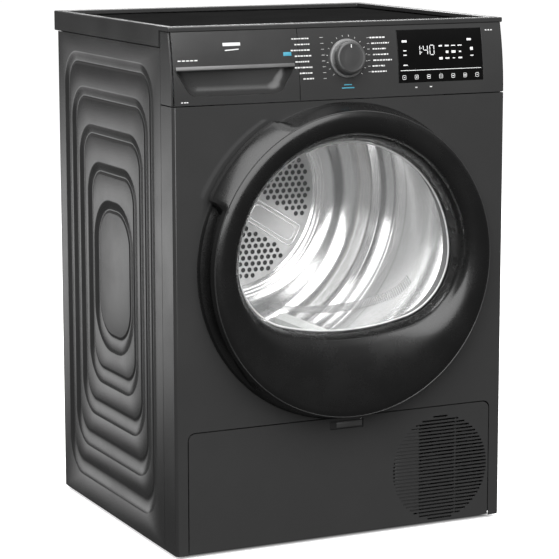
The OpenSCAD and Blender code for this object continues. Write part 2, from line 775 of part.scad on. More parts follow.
module tensioner_spring() color(bare_steel) translate([spring_x0, belt_y + 21, spring_z])
    rotate([0, 90, 0]) difference() {
        cylinder(r = 5, h = spring_x1 - spring_x0);
        translate([0, 0, -1]) cylinder(r = 3.6, h = spring_x1 - spring_x0 + 2);
    }

// ---------- heat pump ----------

compressor_x = inner_x - 96;
compressor_y = 154;
compressor_r = 58;
compressor_h = 150;
duct_floor_z = 62;
duct_x0 = -inner_x + 14;
duct_x1 = -84;
duct_y0 = 46;
duct_y1 = rear_y - 90;
duct_top = 204;
coil_low = 48;
coil_rows = [72, 112, 152];
pipe_front_y = duct_y0 + 80;
pipe_back_y = duct_y0 + 220;

module compressor() color("#2b2b2b") translate([compressor_x, compressor_y, floor_z + 8]) {
    cylinder(r = compressor_r, h = compressor_h);
    translate([0, 0, compressor_h]) scale([1, 1, 0.35]) sphere(r = compressor_r);
    for (a = [90:120:330]) rotate([0, 0, a]) translate([50, -10, 0]) cube([22, 20, 4]);
}

module exchanger_block(y0, y1) {
    box(duct_x0 + 8, duct_x1 - 8, y0, y1, coil_low, duct_top - 8);
    for (z = coil_rows) translate([duct_x1 - 9, (y0 + y1) / 2, z])
        rotate([0, 90, 0]) cylinder(r = 4, h = 14);
}

module finned_block(y0, y1) difference() {
    exchanger_block(y0, y1);
    for (x = [duct_x0 + 14:12:duct_x1 - 16])
        box(x, x + 4, y0 - 1, y1 + 1, coil_low + 8, duct_top - 16);
}

module evaporator() color("#aab4bd") finned_block(duct_y0 + 30, duct_y0 + 130);

module condenser() color("#b9a083") finned_block(duct_y0 + 150, duct_y0 + 290);

fan_exit_y = fan_y1 + 16;
scroll_r = fan_r + 8;
scroll_y0 = fan_y0 - 8;

// Upper shell of the air path: the exchanger tunnel, the plenum behind it, the fan's
// scroll and the spout that leads through the rear panel
module air_solid(g) {
    box(duct_x0 + g, duct_x1 - g, duct_y0 - 1 - (g > 0 ? 2 : 0), duct_y1 - g,
        duct_floor_z, duct_top - g);
    rod_y(motor_x, motor_z, scroll_r - g, scroll_y0 + g, fan_exit_y - g);
    box(duct_x1 - 40, motor_x, scroll_y0 + g, fan_exit_y - g, duct_floor_z + g, motor_z + scroll_r - g);
    box(fan_exit_x0 + g, fan_exit_x1 - g, scroll_y0 + g, rear_y - sheet_t - 0.3 + (g > 0 ? 2 : 0),
        spout_low + g, spout_high - g);
    box(fan_exit_x0 - 24 + g, fan_exit_x1 - g, scroll_y0 + g, fan_exit_y - g, motor_z,
        spout_high - 10 - g);
}

module air_housing() color(light_plastic) difference() {
    air_solid(0);
    air_solid(wall_t);
    // opening for the motor shaft and its running gap
    rod_y(motor_x, motor_z, motor_shaft_r + 2, fan_y0 - 20, fan_y0 + 5);
    // tunnel floor is the base tray, and the coil ends pass through the side
    box(duct_x0 + wall_t, duct_x1 - wall_t, duct_y0 - 5, duct_y1 - wall_t,
        duct_floor_z - 12, duct_floor_z + 1);
    for (z = coil_rows) for (y = [pipe_front_y, pipe_back_y])
        translate([duct_x1 - 9, y, z]) rotate([0, 90, 0]) cylinder(r = 5, h = 20);
}

lever_x = (duct_x0 + duct_x1) / 2;
lever_z = 176;
lever_hub_r = 6;

module exchanger_cover() color(grey_plastic) difference() {
    union() {
        box(duct_x0, duct_x1, duct_y0 - 10, duct_y0 - 2, duct_floor_z + 1, duct_top);
        rod_y(lever_x, lever_z, 20, duct_y0 - 14, duct_y0 - 9);
    }
    rod_y(lever_x, lever_z, lever_hub_r + run_fit, duct_y0 - 20, duct_y0 - 5);
}

module cover_lever() color("#2f6f9f") {
    rod_y(lever_x, lever_z, lever_hub_r, duct_y0 - 21, duct_y0 - 6);
    rod_y(lever_x, lever_z, 14, duct_y0 - 21, duct_y0 - 15);
    box(lever_x - 5, lever_x + 5, duct_y0 - 21, duct_y0 - 15, lever_z - 40, lever_z);
}

// A straight length of pipe with round ends
module pipe_leg(a, b) hull() {
    translate(a) sphere(r = 4, $fn = 16);
    translate(b) sphere(r = 4, $fn = 16);
}

module refrigerant_pipes() color(copper) {
    x = duct_x1 + 10;
    end_x = compressor_x - compressor_r - 8;
    for (z = [coil_rows[1], coil_rows[2]])
        pipe_leg([x, pipe_front_y, z], [end_x, pipe_front_y, z]);
    pipe_leg([x, pipe_front_y, coil_rows[0]], [x, pipe_back_y, coil_rows[0]]);
}

pump_x = inner_x - 60;
pump_y = 330;

module condensate_pump() color(light_plastic) {
    translate([pump_x, pump_y, floor_z]) cylinder(r = 34, h = 22);
    translate([pump_x, pump_y, floor_z + 21]) cylinder(r = 24, h = 46);
    translate([pump_x + 30, pump_y, floor_z]) cylinder(r = 7, h = 60);
}

fan_hub_r = 18;
fan_pin_r = 4;
fan_blades = 7;

module cooling_fan_shroud() color(black_plastic) difference() {
    box(grille_x - cooling_fan_r - 8, grille_x + cooling_fan_r + 8, 28, 66,
        grille_z - cooling_fan_r - 8, grille_z + cooling_fan_r + 8);
    rod_y(grille_x, grille_z, cooling_fan_r + 3, 20, 60);
    for (a = [0:90:270]) rotate_about_y(grille_x, grille_z, a)
        translate([fan_hub_r + 8, 50, -18]) cube([38, 30, 36]);
    rod_y(grille_x, grille_z, fan_pin_r + run_fit, 50, 80);
}

module rotate_about_y(x, z, a) translate([x, 0, z]) rotate([0, a, 0]) children();

module cooling_fan() color("#3a3a3a") {
    rod_y(grille_x, grille_z, fan_hub_r, 34, 56);
    rod_y(grille_x, grille_z, fan_pin_r, 50, 70);
    for (i = [1:fan_blades]) rotate_about_y(grille_x, grille_z, 360 * i / fan_blades)
        translate([fan_hub_r - 3, 44, 0]) rotate([32, 0, 0]) translate([0, -1, -13])
            cube([cooling_fan_r - fan_hub_r, 2, 26]);
}

// ---------- rear fittings ----------

module mains_inlet() color(black_plastic) difference() {
    union() {
        rod_y(inlet_x, fitting_z, inlet_r, rear_y - 14, rear_y + 10);
        rod_y(inlet_x, fitting_z, inlet_r + 4.3, rear_y + 0.1, rear_y + 4);
    }
    rod_y(inlet_x, fitting_z, gland_r, rear_y - 20, rear_y + 20);
}

module drain_spigot() color(light_plastic) difference() {
    union() {
        rod_y(spigot_x, fitting_z, spigot_body_r, rear_y - 14, rear_y + 8);
        rod_y(spigot_x, fitting_z, spigot_body_r + 4.3, rear_y + 0.1, rear_y + 3);
        rod_y(spigot_x, fitting_z, spigot_r, rear_y, rear_y + 32);
    }
    rod_y(spigot_x, fitting_z, spigot_r - wall_t, rear_y - 20, rear_y + 40);
}

module rear_screws() color(bare_steel) {
    for (a = [-10:39:263]) rod_y((duct_r + 6) * cos(a), drum_z + (duct_r + 6) * sin(a), 4.5,
        rear_y + sheet_t, rear_y + sheet_t + 2.5);
    for (z = [panel_low + 20, skirt_z - 20]) for (x = [-inner_x + 12:(2 * inner_x - 24) / 4:inner_x - 11])
        rod_y(x, z, 4.5, rear_y, rear_y + 2.5);
}

// ---------- door ----------

nose_y = -door_proud;
trim_back = -2.5;

// Everything on the hinge side that the fixed knuckles and the panel pass through
module hinge_relief() {
    difference() {
        box(hinge_x, hinge_x + 40, -hinge_proud, 10, door_z - 110, door_z + 110);
        translate([hinge_x, -hinge_proud, door_z - 120]) cylinder(r = hinge_proud - 1.5, h = 240);
    }
    translate([0, 0, bracket_low - 4]) linear_extrude(bracket_high - bracket_low + 8)
        polygon([[hinge_x - 9, 2], [hinge_x - 9, -hinge_proud - 8], [hinge_x, -hinge_proud - 19],
            [hinge_x + 40, -hinge_proud - 19], [hinge_x + 40, 2]]);
}

dish_r = 198;
grip_r = 270;
pocket_r = 243;
pocket_y0 = -34;
pocket_a0 = 155;
pocket_a = 48;
grip_a0 = -155;
grip_a = 38;

// Part of a ring about the door's centre, from angle a and over the given sweep
module ring_sector(a, sweep) translate([0, 0, door_z]) rotate([-90, 0, 0]) rotate([0, 0, a])
    rotate_extrude(angle = sweep) children();

module door_trim() color(black_plastic) difference() {
    union() {
        about_y(0, door_z) polygon([[door_r, trim_back], [door_nose_r + 7, nose_y + 7],
            [door_nose_r + 5, nose_y + 3], [door_nose_r, nose_y], [door_nose_r - 5, nose_y + 1],
            [dish_r, -5.5], [dish_r - 6, -5.5], [dish_r - 6, trim_back - 0.5],
            [dish_r - 2, trim_back - 0.5],
            [door_nose_r - 5, nose_y + 5], [door_nose_r + 1, nose_y + 5], [door_nose_r + 3.5, nose_y + 8],
            [door_r - 3, trim_back]]);
        // flat web between the dish and the opening
        along_y(-5.5, trim_back - 0.5) difference() {
            translate([0, door_z]) circle(r = dish_r - 2);
            opening(0);
        }
        // liner of the finger pocket on the left
        ring_sector(pocket_a0, pocket_a) polygon([[pocket_r - wall_t, pocket_y0 - wall_t],
            [door_r - 2, pocket_y0 - wall_t], [door_r - 2, trim_back - 0.5],
            [pocket_r - wall_t, trim_back - 0.5]]);
        // grip lip on the upper left of the ring
        ring_sector(grip_a0, grip_a) polygon([[door_r - 8, -24], [grip_r - 2, -24], [grip_r, -22],
            [grip_r, -12], [grip_r - 4, -8], [door_r - 5, -8]]);
    }
    ring_sector(pocket_a0 + 1, pocket_a - 2) translate([pocket_r, pocket_y0])
        square([30, trim_back - wall_t - pocket_y0]);
    hinge_relief();
    along_y(-20, 5) opening(0);
}

module door_frame() color(grey_plastic) difference() {
    union() {
        along_y(trim_back - 0.2, -0.5) difference() {
            translate([0, door_z]) circle(r = door_r - 4);
            opening(0.5);
        }
        along_y(trim_back - 0.2, 2) difference() {
            opening(3.5);
            opening(0.5);
        }
    }
    hinge_relief();
}

module door_seal() color(rubber) along_y(sheet_t + skim, sheet_t + 1.5) difference() {
    opening(20);
    opening(13);
}

// Clear bowl: a flange behind the trim and a tapered cup that reaches into the drum
module door_glass() color([0.85, 0.9, 0.92, 0.4]) difference() {
    hull() {
        along_y(trim_back, trim_back + 1) opening(0.2);
        along_y(bowl_depth - 1, bowl_depth) opening(-30);
    }
    hull() {
        along_y(trim_back - 3, trim_back - 2) opening(-3.8);
        along_y(bowl_depth - 5, bowl_depth - 4) opening(-34);
    }
}

module hinge_bracket() color(cast_metal) difference() {
    union() {
        for (z = [bracket_low, bracket_high - 18]) {
            translate([hinge_x, -hinge_proud, z]) cylinder(r = 8, h = 18);
            box(hinge_x - 3, hinge_x + 3, -hinge_proud, panel_back + 1, z, z + 18);
        }
        box(hinge_x - 18, hinge_x + 18, panel_back, panel_back + 3, bracket_low - 12, bracket_high + 12);
    }
    translate([hinge_x, -hinge_proud, bracket_low - 5])
        cylinder(r = hinge_pin_r + run_fit, h = bracket_high - bracket_low + 10);
}

module hinge_arm() color(cast_metal) {
    arm_low = bracket_low + 18.5;
    arm_h = bracket_high - bracket_low - 37;
    translate([hinge_x, -hinge_proud, bracket_low])
        cylinder(r = hinge_pin_r, h = bracket_high - bracket_low);
    translate([hinge_x, -hinge_proud, arm_low]) cylinder(r = 8, h = arm_h);
    translate([0, 0, arm_low]) linear_extrude(arm_h) polygon([[hinge_x - 5, -hinge_proud - 5],
        [hinge_x - 19, -hinge_proud + 10], [hinge_x - 28, trim_back - 0.4],
        [hinge_x - 4, trim_back - 0.4]]);
}

module door_hook() color(bare_steel) {
    box(hook_x - 2, hook_x + 2, -0.5, 16, door_z - hook_half_h, door_z + hook_half_h);
    box(hook_x - 6, hook_x + 6, -0.5, 0.5 - eps, door_z - hook_half_h - 2, door_z + hook_half_h + 2);
}

module door_lock() color(light_plastic) difference() {
    box(hook_x - 16, hook_x + 16, panel_back, 21, door_z - 30, door_z + 30);
    box(hook_x - 6, hook_x + 6, 0, 19, door_z - hook_half_h - 3, door_z + hook_half_h + 3);
}

// ---------- kick panel ----------

latch_x0 = -23;
latch_x1 = 36;
latch_z0 = 186;
latch_z1 = 198;

module kick_panel() color(steel_paint) difference() {
    union() {
        difference() {
            along_y(0, 12) intersection() {
                kick_outline(0);
                translate([-cabinet_w, ground_gap + 2]) square([2 * cabinet_w, cabinet_h]);
            }
            along_y(wall_t, 13) intersection() {
                kick_outline(-wall_t);
                translate([-cabinet_w, ground_gap + 2 + wall_t]) square([2 * cabinet_w, cabinet_h]);
            }
            for (z = [grille_z - grille_r + slot_pitch / 2:slot_pitch:grille_z + grille_r - 1])
                let (half = sqrt(max(1, grille_r * grille_r - pow(z - grille_z, 2))))
                    box(grille_x - half, grille_x + half, -1, wall_t + 1,
                        z - slot_pitch / 4, z + slot_pitch / 4);
        }
        // ribs behind the grille
        for (x = [grille_x - 40, grille_x + 30]) box(x - 1.5, x + 1.5, wall_t - 0.5, 8,
            grille_z - grille_r + 6, grille_z + grille_r - 6);
        for (s = [-1, 1]) kick_axle(s, kick_pin_r, 24);
    }
    box(latch_x0 - 1, latch_x1 + 1, -1, wall_t + 1, latch_z0 - 1, latch_z1 + 1);
    // room for the lugs of the base
    for (s = [-1, 1]) difference() {
        box(s * lug_x - 5, s * lug_x + 5, wall_t / 2, 13, ground_gap, 27);
        kick_axle(s, kick_pin_r, 24);
    }
}

module kick_latch() color(black_plastic) {
    box(latch_x0, latch_x1, 1.2, wall_t, latch_z0, latch_z1);
    box(latch_x0 + 8, latch_x1 - 8, wall_t - eps, 9, latch_z0, latch_z0 + 3);
    box(latch_x0 - 6, latch_x1 + 6, wall_t + 0.3, wall_t + 2, latch_z0 - 3, latch_z0 + 4);
    box(latch_x0 + 2, latch_x1 - 2, wall_t - eps, wall_t + 2, latch_z0, latch_z1);
}

// ---------- the assembly ----------

module at_front() translate([0, front_y, 0]) children();

at_front() base_tray();
at_front() left_side_panel();
at_front() right_side_panel();
at_front() front_panel();
at_front() rear_panel();
at_front() rear_duct_cover();
at_front() top_frame();
at_front() top_board();
at_front() control_fascia();
at_front() display_window();
at_front() control_board();
at_front() tank_housing();
at_front() front_bulkhead();
at_front() drum_seals();
at_front() lint_filter();
at_front() door_lock();
at_front() door_seal();
at_front() hinge_bracket();
at_front() rear_bearing();
at_front() roller_axles();
at_front() drive_belt();
at_front() motor_stator();
at_front() compressor();
at_front() evaporator();
at_front() condenser();
at_front() air_housing();
at_front() exchanger_cover();
at_front() refrigerant_pipes();
at_front() condensate_pump();
at_front() cooling_fan_shroud();
at_front() mains_inlet();
at_front() drain_spigot();
at_front() rear_screws();
at_front() tensioner_spring();
at_front() door_trim();
at_front() door_frame();
at_front() door_glass();
at_front() hinge_arm();
at_front() door_hook();
at_front() drum_shell();
at_front() drum_back();
at_front() drum_lifters();
at_front() drum_shaft();
at_front() motor_rotor();
at_front() process_fan();
at_front() idler_arm();
at_front() idler_pulley();
at_front() left_roller();
at_front() right_roller();
at_front() selector_knob();
at_front() tank_front();
at_front() tank_body();
at_front() kick_panel();
at_front() kick_latch();
at_front() cooling_fan();
at_front() cover_lever();
at_front() foot(0);  // front_left_foot
at_front() foot(1);  // front_right_foot
at_front() foot(2);  // rear_left_foot
at_front() foot(3);  // rear_right_foot
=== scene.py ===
import json
import math
import random

import bpy
from mathutils import Matrix, Vector

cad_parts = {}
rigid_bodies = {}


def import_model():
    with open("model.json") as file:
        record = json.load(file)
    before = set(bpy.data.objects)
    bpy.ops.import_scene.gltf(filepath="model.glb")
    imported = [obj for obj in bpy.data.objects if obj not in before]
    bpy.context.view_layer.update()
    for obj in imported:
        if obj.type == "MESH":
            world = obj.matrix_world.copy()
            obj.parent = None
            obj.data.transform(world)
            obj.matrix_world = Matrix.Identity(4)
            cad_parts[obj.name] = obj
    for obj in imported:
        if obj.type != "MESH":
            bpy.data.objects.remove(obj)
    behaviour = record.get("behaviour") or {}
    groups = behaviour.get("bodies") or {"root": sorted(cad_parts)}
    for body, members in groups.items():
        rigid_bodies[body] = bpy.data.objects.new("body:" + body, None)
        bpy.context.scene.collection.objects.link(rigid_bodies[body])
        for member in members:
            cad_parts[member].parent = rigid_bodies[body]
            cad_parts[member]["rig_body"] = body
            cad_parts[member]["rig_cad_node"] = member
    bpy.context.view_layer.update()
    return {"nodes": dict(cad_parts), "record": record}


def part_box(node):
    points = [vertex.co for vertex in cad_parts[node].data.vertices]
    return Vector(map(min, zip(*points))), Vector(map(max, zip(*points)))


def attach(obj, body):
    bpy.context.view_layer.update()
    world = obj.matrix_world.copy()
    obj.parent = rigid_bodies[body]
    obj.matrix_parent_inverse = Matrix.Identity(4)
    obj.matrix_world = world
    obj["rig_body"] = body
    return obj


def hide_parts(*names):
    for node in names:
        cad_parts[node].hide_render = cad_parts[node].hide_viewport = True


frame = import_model()
scene = bpy.context.scene
mm = 0.001
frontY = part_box("front_panel")[0].y  # plane of the front sheet
print("frame loaded:", len(frame["nodes"]), "nodes")


# ---- shader helpers ----

class Wire:
    # wraps a socket, so that shader maths reads as plain sums
    def __init__(self, kit, socket):
        self.kit = kit
        self.socket = socket

    def __add__(self, other):
        return self.kit.maths("ADD", self, other)

    def __radd__(self, other):
        return self.kit.maths("ADD", other, self)

    def __sub__(self, other):
        return self.kit.maths("SUBTRACT", self, other)

    def __rsub__(self, other):
        return self.kit.maths("SUBTRACT", other, self)

    def __mul__(self, other):
        return self.kit.maths("MULTIPLY", self, other)

    def __rmul__(self, other):
        return self.kit.maths("MULTIPLY", other, self)

    def __truediv__(self, other):
        return self.kit.maths("DIVIDE", self, other)


class NodeKit:
    def __init__(self, tree):
        self.tree = tree
        tree.nodes.clear()

    def node(self, kind, settings=None, sockets=None, out=0):
        made = self.tree.nodes.new("ShaderNode" + kind)
        for key, value in (settings or {}).items():
            setattr(made, key, value)
        for key, value in (sockets or {}).items():
            if isinstance(value, Wire):
                self.tree.links.new(value.socket, made.inputs[key])
            else:
                made.inputs[key].default_value = value
        return Wire(self, made.outputs[out]) if made.outputs else made

    def maths(self, operation, a, b=0.0):
        return self.node("Math", {"operation": operation}, {0: a, 1: b})

    def mixColour(self, factor, a, b):
        return self.node("Mix", {"data_type": "RGBA"}, {0: factor, 6: a, 7: b}, out=2)

    def spread(self, value, low, high, newLow=0.0, newHigh=1.0):
        return self.node("MapRange", {"interpolation_type": "SMOOTHSTEP"},
                         {0: value, 1: low, 2: high, 3: newLow, 4: newHigh})

    def coords(self, stretch=(1, 1, 1)):
        place = self.node("TexCoord", out="Object")
        if tuple(stretch) == (1, 1, 1):
            return place
        return self.node("Mapping", None, {"Vector": place, "Scale": stretch})

    def noise(self, scale, detail=2.0, rough=0.5, stretch=(1, 1, 1)):
        return self.node("TexNoise", None, {"Vector": self.coords(stretch), "Scale": scale,
                                            "Detail": detail, "Roughness": rough})

    def axis(self, vector, name):
        return self.node("SeparateXYZ", None, {"Vector": vector}, out=name)

    def bump(self, height, distance, strength=1.0):
        return self.node("Bump", None, {"Height": height, "Distance": distance, "Strength": strength})


def grey(value, warmth=0.0):
    return (value * (1 + warmth), value, value * (1 - warmth), 1)


def newFinish(name):
    material = bpy.data.materials.new(name)
    material.use_nodes = True
    return material, NodeKit(material.node_tree)


def output(kit, **sockets):
    surface = kit.node("BsdfPrincipled", None, sockets)
    kit.node("OutputMaterial", None, {"Surface": surface})


# a powder coat with fine orange peel and a slightly uneven tone
def coated(name, colour, rough, peel=0.00006):
    material, kit = newFinish(name)
    dust = kit.noise(9, 5, 0.6)
    fine = kit.noise(900, 3, 0.55)
    peelMap = kit.noise(420, 2, 0.45)
    tone = kit.mixColour(kit.spread(dust, 0.35, 0.75, 0, 0.5), colour, [c * 1.12 for c in colour[:3]] + [1])
    output(kit, **{"Base Color": tone,
                   "Roughness": kit.spread(dust, 0.3, 0.8, rough - 0.03, rough + 0.05) + (fine - 0.5) * 0.06,
                   "Specular IOR Level": 0.5,
                   "Normal": kit.bump(peelMap * 0.7 + fine * 0.3, peel)})
    return material


# moulded plastic: grained or polished, with a slightly uneven tone
def moulded(name, colour, rough, grain=0.00008, scale=700, unevenness=0.12, coat=0.0):
    material, kit = newFinish(name)
    cloud = kit.noise(14, 4, 0.6)
    grains = kit.noise(scale, 3, 0.6)
    tone = kit.mixColour(kit.spread(cloud, 0.3, 0.75), [c * (1 - unevenness) for c in colour[:3]] + [1],
                         [min(1, c * (1 + unevenness)) for c in colour[:3]] + [1])
    output(kit, **{"Base Color": tone,
                   "Roughness": kit.spread(cloud, 0.3, 0.8, rough, rough + 0.07) + (grains - 0.5) * 0.08,
                   "Coat Weight": coat,
                   "Normal": kit.bump(grains, grain)})
    return material


# sheet metal: brushed along one axis, with faint rolling marks
def sheetMetal(name, colour, rough, stretch, brush=0.00003, metallic=1.0, spangle=0.0):
    material, kit = newFinish(name)
    streaks = kit.noise(600, 3, 0.6, stretch)
    cloud = kit.noise(11, 4, 0.55)
    cells = kit.node("TexVoronoi", None, {"Vector": kit.coords(), "Scale": 160.0}, out="Color")
    flake = kit.node("SeparateColor", None, {"Color": cells}, out=0)
    tone = kit.mixColour(kit.spread(cloud, 0.3, 0.75) * 0.5 + flake * spangle,
                         [c * 0.82 for c in colour[:3]] + [1], colour)
    output(kit, **{"Base Color": tone,
                   "Metallic": metallic,
                   "Roughness": rough + (streaks - 0.5) * 0.16 + (cloud - 0.5) * 0.1 + flake * spangle * 0.25,
                   "Normal": kit.bump(streaks, brush)})
    return material


def clearGlass(name):
    material, kit = newFinish(name)
    # painted sheen: the pale glass grows more opaque towards grazing angles, standing in for its reflection; the
    # smear noise adds faint real smudges
    grazingSheen = kit.node("LayerWeight", None, {"Blend": 0.35}, out="Facing")
    smear = kit.noise(30, 4, 0.6)
    output(kit, **{"Base Color": (0.86, 0.9, 0.91, 1),
                   "Roughness": kit.spread(smear, 0.3, 0.8, 0.02, 0.07),
                   "Alpha": 0.01 + kit.spread(grazingSheen, 0.5, 1.0) * 0.2 + smear * 0.015,
                   "IOR": 1.5,
                   "Specular IOR Level": 0.5,
                   "Normal": kit.bump(smear, 0.0002, 0.4)})
    return material


def feltCloth(name, colour):
    material, kit = newFinish(name)
    fibres = kit.noise(1400, 5, 0.75, (1, 1, 0.3))
    tufts = kit.noise(160, 4, 0.65)
    tone = kit.mixColour(fibres, [c * 0.7 for c in colour[:3]] + [1], colour)
    output(kit, **{"Base Color": tone, "Roughness": 0.9 + (fibres - 0.5) * 0.1,
                   "Sheen Weight": 0.3, "Normal": kit.bump(fibres * 0.6 + tufts * 0.4, 0.0004)})
    return material


def printed(name, colour, glow=0.0):
    material, kit = newFinish(name)
    grain = kit.noise(2600, 2, 0.6)
    tone = kit.mixColour(kit.spread(grain, 0.3, 0.75), [c * 0.86 for c in colour[:3]] + [1], colour)
    output(kit, **{"Base Color": tone, "Roughness": 0.5 + (grain - 0.5) * 0.2,
                   "Emission Color": tone, "Emission Strength": glow, "Normal": kit.bump(grain, 0.00002)})
    return material


def circuitGreen(name):
    material, kit = newFinish(name)
    tracks = kit.node("TexBrick", None, {"Vector": kit.node("Mapping", None, {
        "Vector": kit.coords(), "Rotation": (math.pi / 2, 0, 0)}), "Scale": 90.0, "Mortar Size": 0.03,
        "Color1": (0.02, 0.13, 0.05, 1), "Color2": (0.03, 0.18, 0.07, 1), "Mortar": (0.05, 0.3, 0.12, 1)})
    output(kit, **{"Base Color": tracks, "Roughness": 0.35 + kit.noise(300) * 0.1,
                   "Normal": kit.bump(kit.noise(500), 0.00004)})
    return material


finishes = {
    "body_paint": coated("anthracitePaint", grey(0.034), 0.16),
    "gloss_black": moulded("polishedBlack", grey(0.006), 0.24, 0.00001, 500, 0.1, 0.1),
    "matte_black": moulded("grainedBlack", grey(0.011), 0.5, 0.00012, 900),
    "display_glass": moulded("smokedLens", grey(0.002), 0.08, 0.000004, 300),
    "knob_metal": moulded("dialGrey", grey(0.07), 0.34, 0.00002, 900, 0.1, 0.1),
    "grey_plastic": moulded("slateMoulding", grey(0.09), 0.42),
    "light_plastic": moulded("paleMoulding", (0.56, 0.57, 0.56, 1), 0.45),
    "tank_plastic": moulded("milkyTank", (0.46, 0.51, 0.53, 1), 0.38),
    "drum_steel": sheetMetal("drumSteel", grey(0.8), 0.17, (1, 0.06, 1), metallic=0.7),
    "zinc_steel": sheetMetal("zincSheet", grey(0.5, -0.01), 0.38, (1, 1, 0.08), spangle=0.35),
    "cast_metal": sheetMetal("castMetal", grey(0.34), 0.5, (1, 1, 1), 0.0001),
    "aluminium_fins": sheetMetal("finStock", grey(0.6), 0.32, (0.05, 1, 1), 0.0002),
    "copper_pipe": sheetMetal("drawnCopper", (0.62, 0.26, 0.13, 1), 0.3, (1, 0.1, 1)),
    "black_enamel": moulded("stoveEnamel", grey(0.016), 0.28, 0.00006, 240),
    "rubber": moulded("mattRubber", grey(0.016), 0.68, 0.0001, 800),
    "felt": feltCloth("pressedFelt", (0.6, 0.57, 0.49, 1)),
    "circuit_board": circuitGreen("boardGreen"),
    "lever_blue": moulded("leverBlue", (0.05, 0.17, 0.36, 1), 0.4),
    "clear_glass": clearGlass("bowlGlass"),
}
printWhite = printed("printWhite", grey(0.75))
printBlue = printed("printBlue", (0.05, 0.3, 0.42, 1))
displayGlow = printed("displayGlow", grey(0.72), 0.3)


def dress(obj, material):
    obj.data.materials.clear()
    obj.data.materials.append(material)


slotOf = {part["node"]: part["material_slot"] for part in frame["record"]["subparts"]}
for name, obj in frame["nodes"].items():
    dress(obj, finishes[slotOf[name]])
print("finishes made:", len(finishes))


# ---- modelling helpers ----

def point(x, y, z):
    # place in millimetres, with y = 0 at the front sheet
    return Vector((x * mm, frontY + y * mm, z * mm))


def startPiece(name):
    bpy.ops.object.select_all(action="DESELECT")
    bpy.ops.mesh.primitive_plane_add(size=0.01, location=(0, 0, 0))
    piece = bpy.context.object
    piece.name = name
    piece.data.name = name
    return piece


def only(piece):
    bpy.ops.object.select_all(action="DESELECT")
    piece.select_set(True)
    bpy.context.view_layer.objects.active = piece


def tidyNormals(piece, merge=0.00001):
    only(piece)
    bpy.ops.object.mode_set(mode="EDIT")
    bpy.ops.mesh.select_all(action="SELECT")
    bpy.ops.mesh.remove_doubles(threshold=merge)
    bpy.ops.mesh.normals_make_consistent(inside=False)
    bpy.ops.object.mode_set(mode="OBJECT")


def smooth(piece, angle=32):
    only(piece)
    bpy.ops.object.shade_smooth_by_angle(angle=math.radians(angle))


def settle(piece):
    only(piece)
    bpy.ops.object.transform_apply(location=True, rotation=True, scale=True)


def finishPiece(piece, material, body, replaced=(), angle=32, weighted=False):
    settle(piece)
    smooth(piece, angle)
    if weighted:
        addModifier(piece, "WEIGHTED_NORMAL", mode="FACE_AREA", weight=50, keep_sharp=True)
    dress(piece, material)
    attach(piece, body)
    if replaced:
        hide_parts(*replaced)
    return piece


# spins a profile of (radius, y) about a line along y; a closed profile makes a solid ring
def lathe(name, profile, x, z, steps=160, closed=True):
    piece = startPiece(name)
    bpy.ops.object.mode_set(mode="EDIT")
    bpy.ops.mesh.select_mode(type="VERT")
    bpy.ops.mesh.select_all(action="SELECT")
    bpy.ops.mesh.merge(type="CENTER")
    places = [point(x + row[0], row[1], z) for row in profile]
    bpy.ops.transform.translate(value=places[0])
    for before, after in zip(places, places[1:]):
        bpy.ops.mesh.extrude_region_move(TRANSFORM_OT_translate={"value": after - before})
    if closed:
        bpy.ops.mesh.extrude_region_move(TRANSFORM_OT_translate={"value": places[0] - places[-1]})
    bpy.ops.mesh.select_all(action="SELECT")
    bpy.ops.mesh.spin(steps=steps, angle=2 * math.pi, center=point(x, 0, z), axis=(0, 1, 0))
    bpy.ops.object.mode_set(mode="OBJECT")
    tidyNormals(piece)
    return piece


def addModifier(piece, kind, **values):
    only(piece)
    modifier = piece.modifiers.new(kind.title(), kind)
    for key, value in values.items():
        setattr(modifier, key, value)
    bpy.ops.object.modifier_apply(modifier=modifier.name)


def joinPieces(pieces, name):
    bpy.ops.object.select_all(action="DESELECT")
    for piece in pieces:
        piece.select_set(True)
    bpy.context.view_layer.objects.active = pieces[0]
    bpy.ops.object.join()
    bpy.context.object.name = name
    return bpy.context.object


# a plain block of the given size in millimetres, turned about the depth axis
def block(name, place, size, turn=0.0):
    bpy.ops.object.select_all(action="DESELECT")
    bpy.ops.mesh.primitive_cube_add(size=1, location=(0, 0, 0))
    piece = bpy.context.object
    piece.name = name
    piece.dimensions = Vector(size) * mm
    piece.rotation_euler = (0, -turn, 0)
    piece.location = place
    settle(piece)
    return piece


# fills the first loop, then extrudes its edge out through the others
def growLoops(name, loops):
    bpy.ops.object.select_all(action="DESELECT")
    bpy.ops.mesh.primitive_circle_add(vertices=len(loops[0]), radius=0.1, fill_type="NGON", location=(0, 0, 0))
    piece = bpy.context.object
    piece.name = name
    for vertex, place in zip(piece.data.vertices, loops[0]):
        vertex.co = place
    for before, after in zip(loops, loops[1:]):
        only(piece)
        bpy.ops.object.mode_set(mode="EDIT")
        bpy.ops.mesh.select_mode(type="EDGE")
        bpy.ops.mesh.select_all(action="DESELECT")
        bpy.ops.mesh.select_non_manifold(extend=False, use_wire=False, use_boundary=True,
                                         use_multi_face=False, use_non_contiguous=False, use_verts=False)
        bpy.ops.mesh.extrude_edges_indiv()
        bpy.ops.object.mode_set(mode="OBJECT")
        for vertex in piece.data.vertices:
            if vertex.select:
                nearest = min(range(len(before)), key=lambda i: (before[i] - vertex.co).length_squared)
                vertex.co = after[nearest]
    return piece


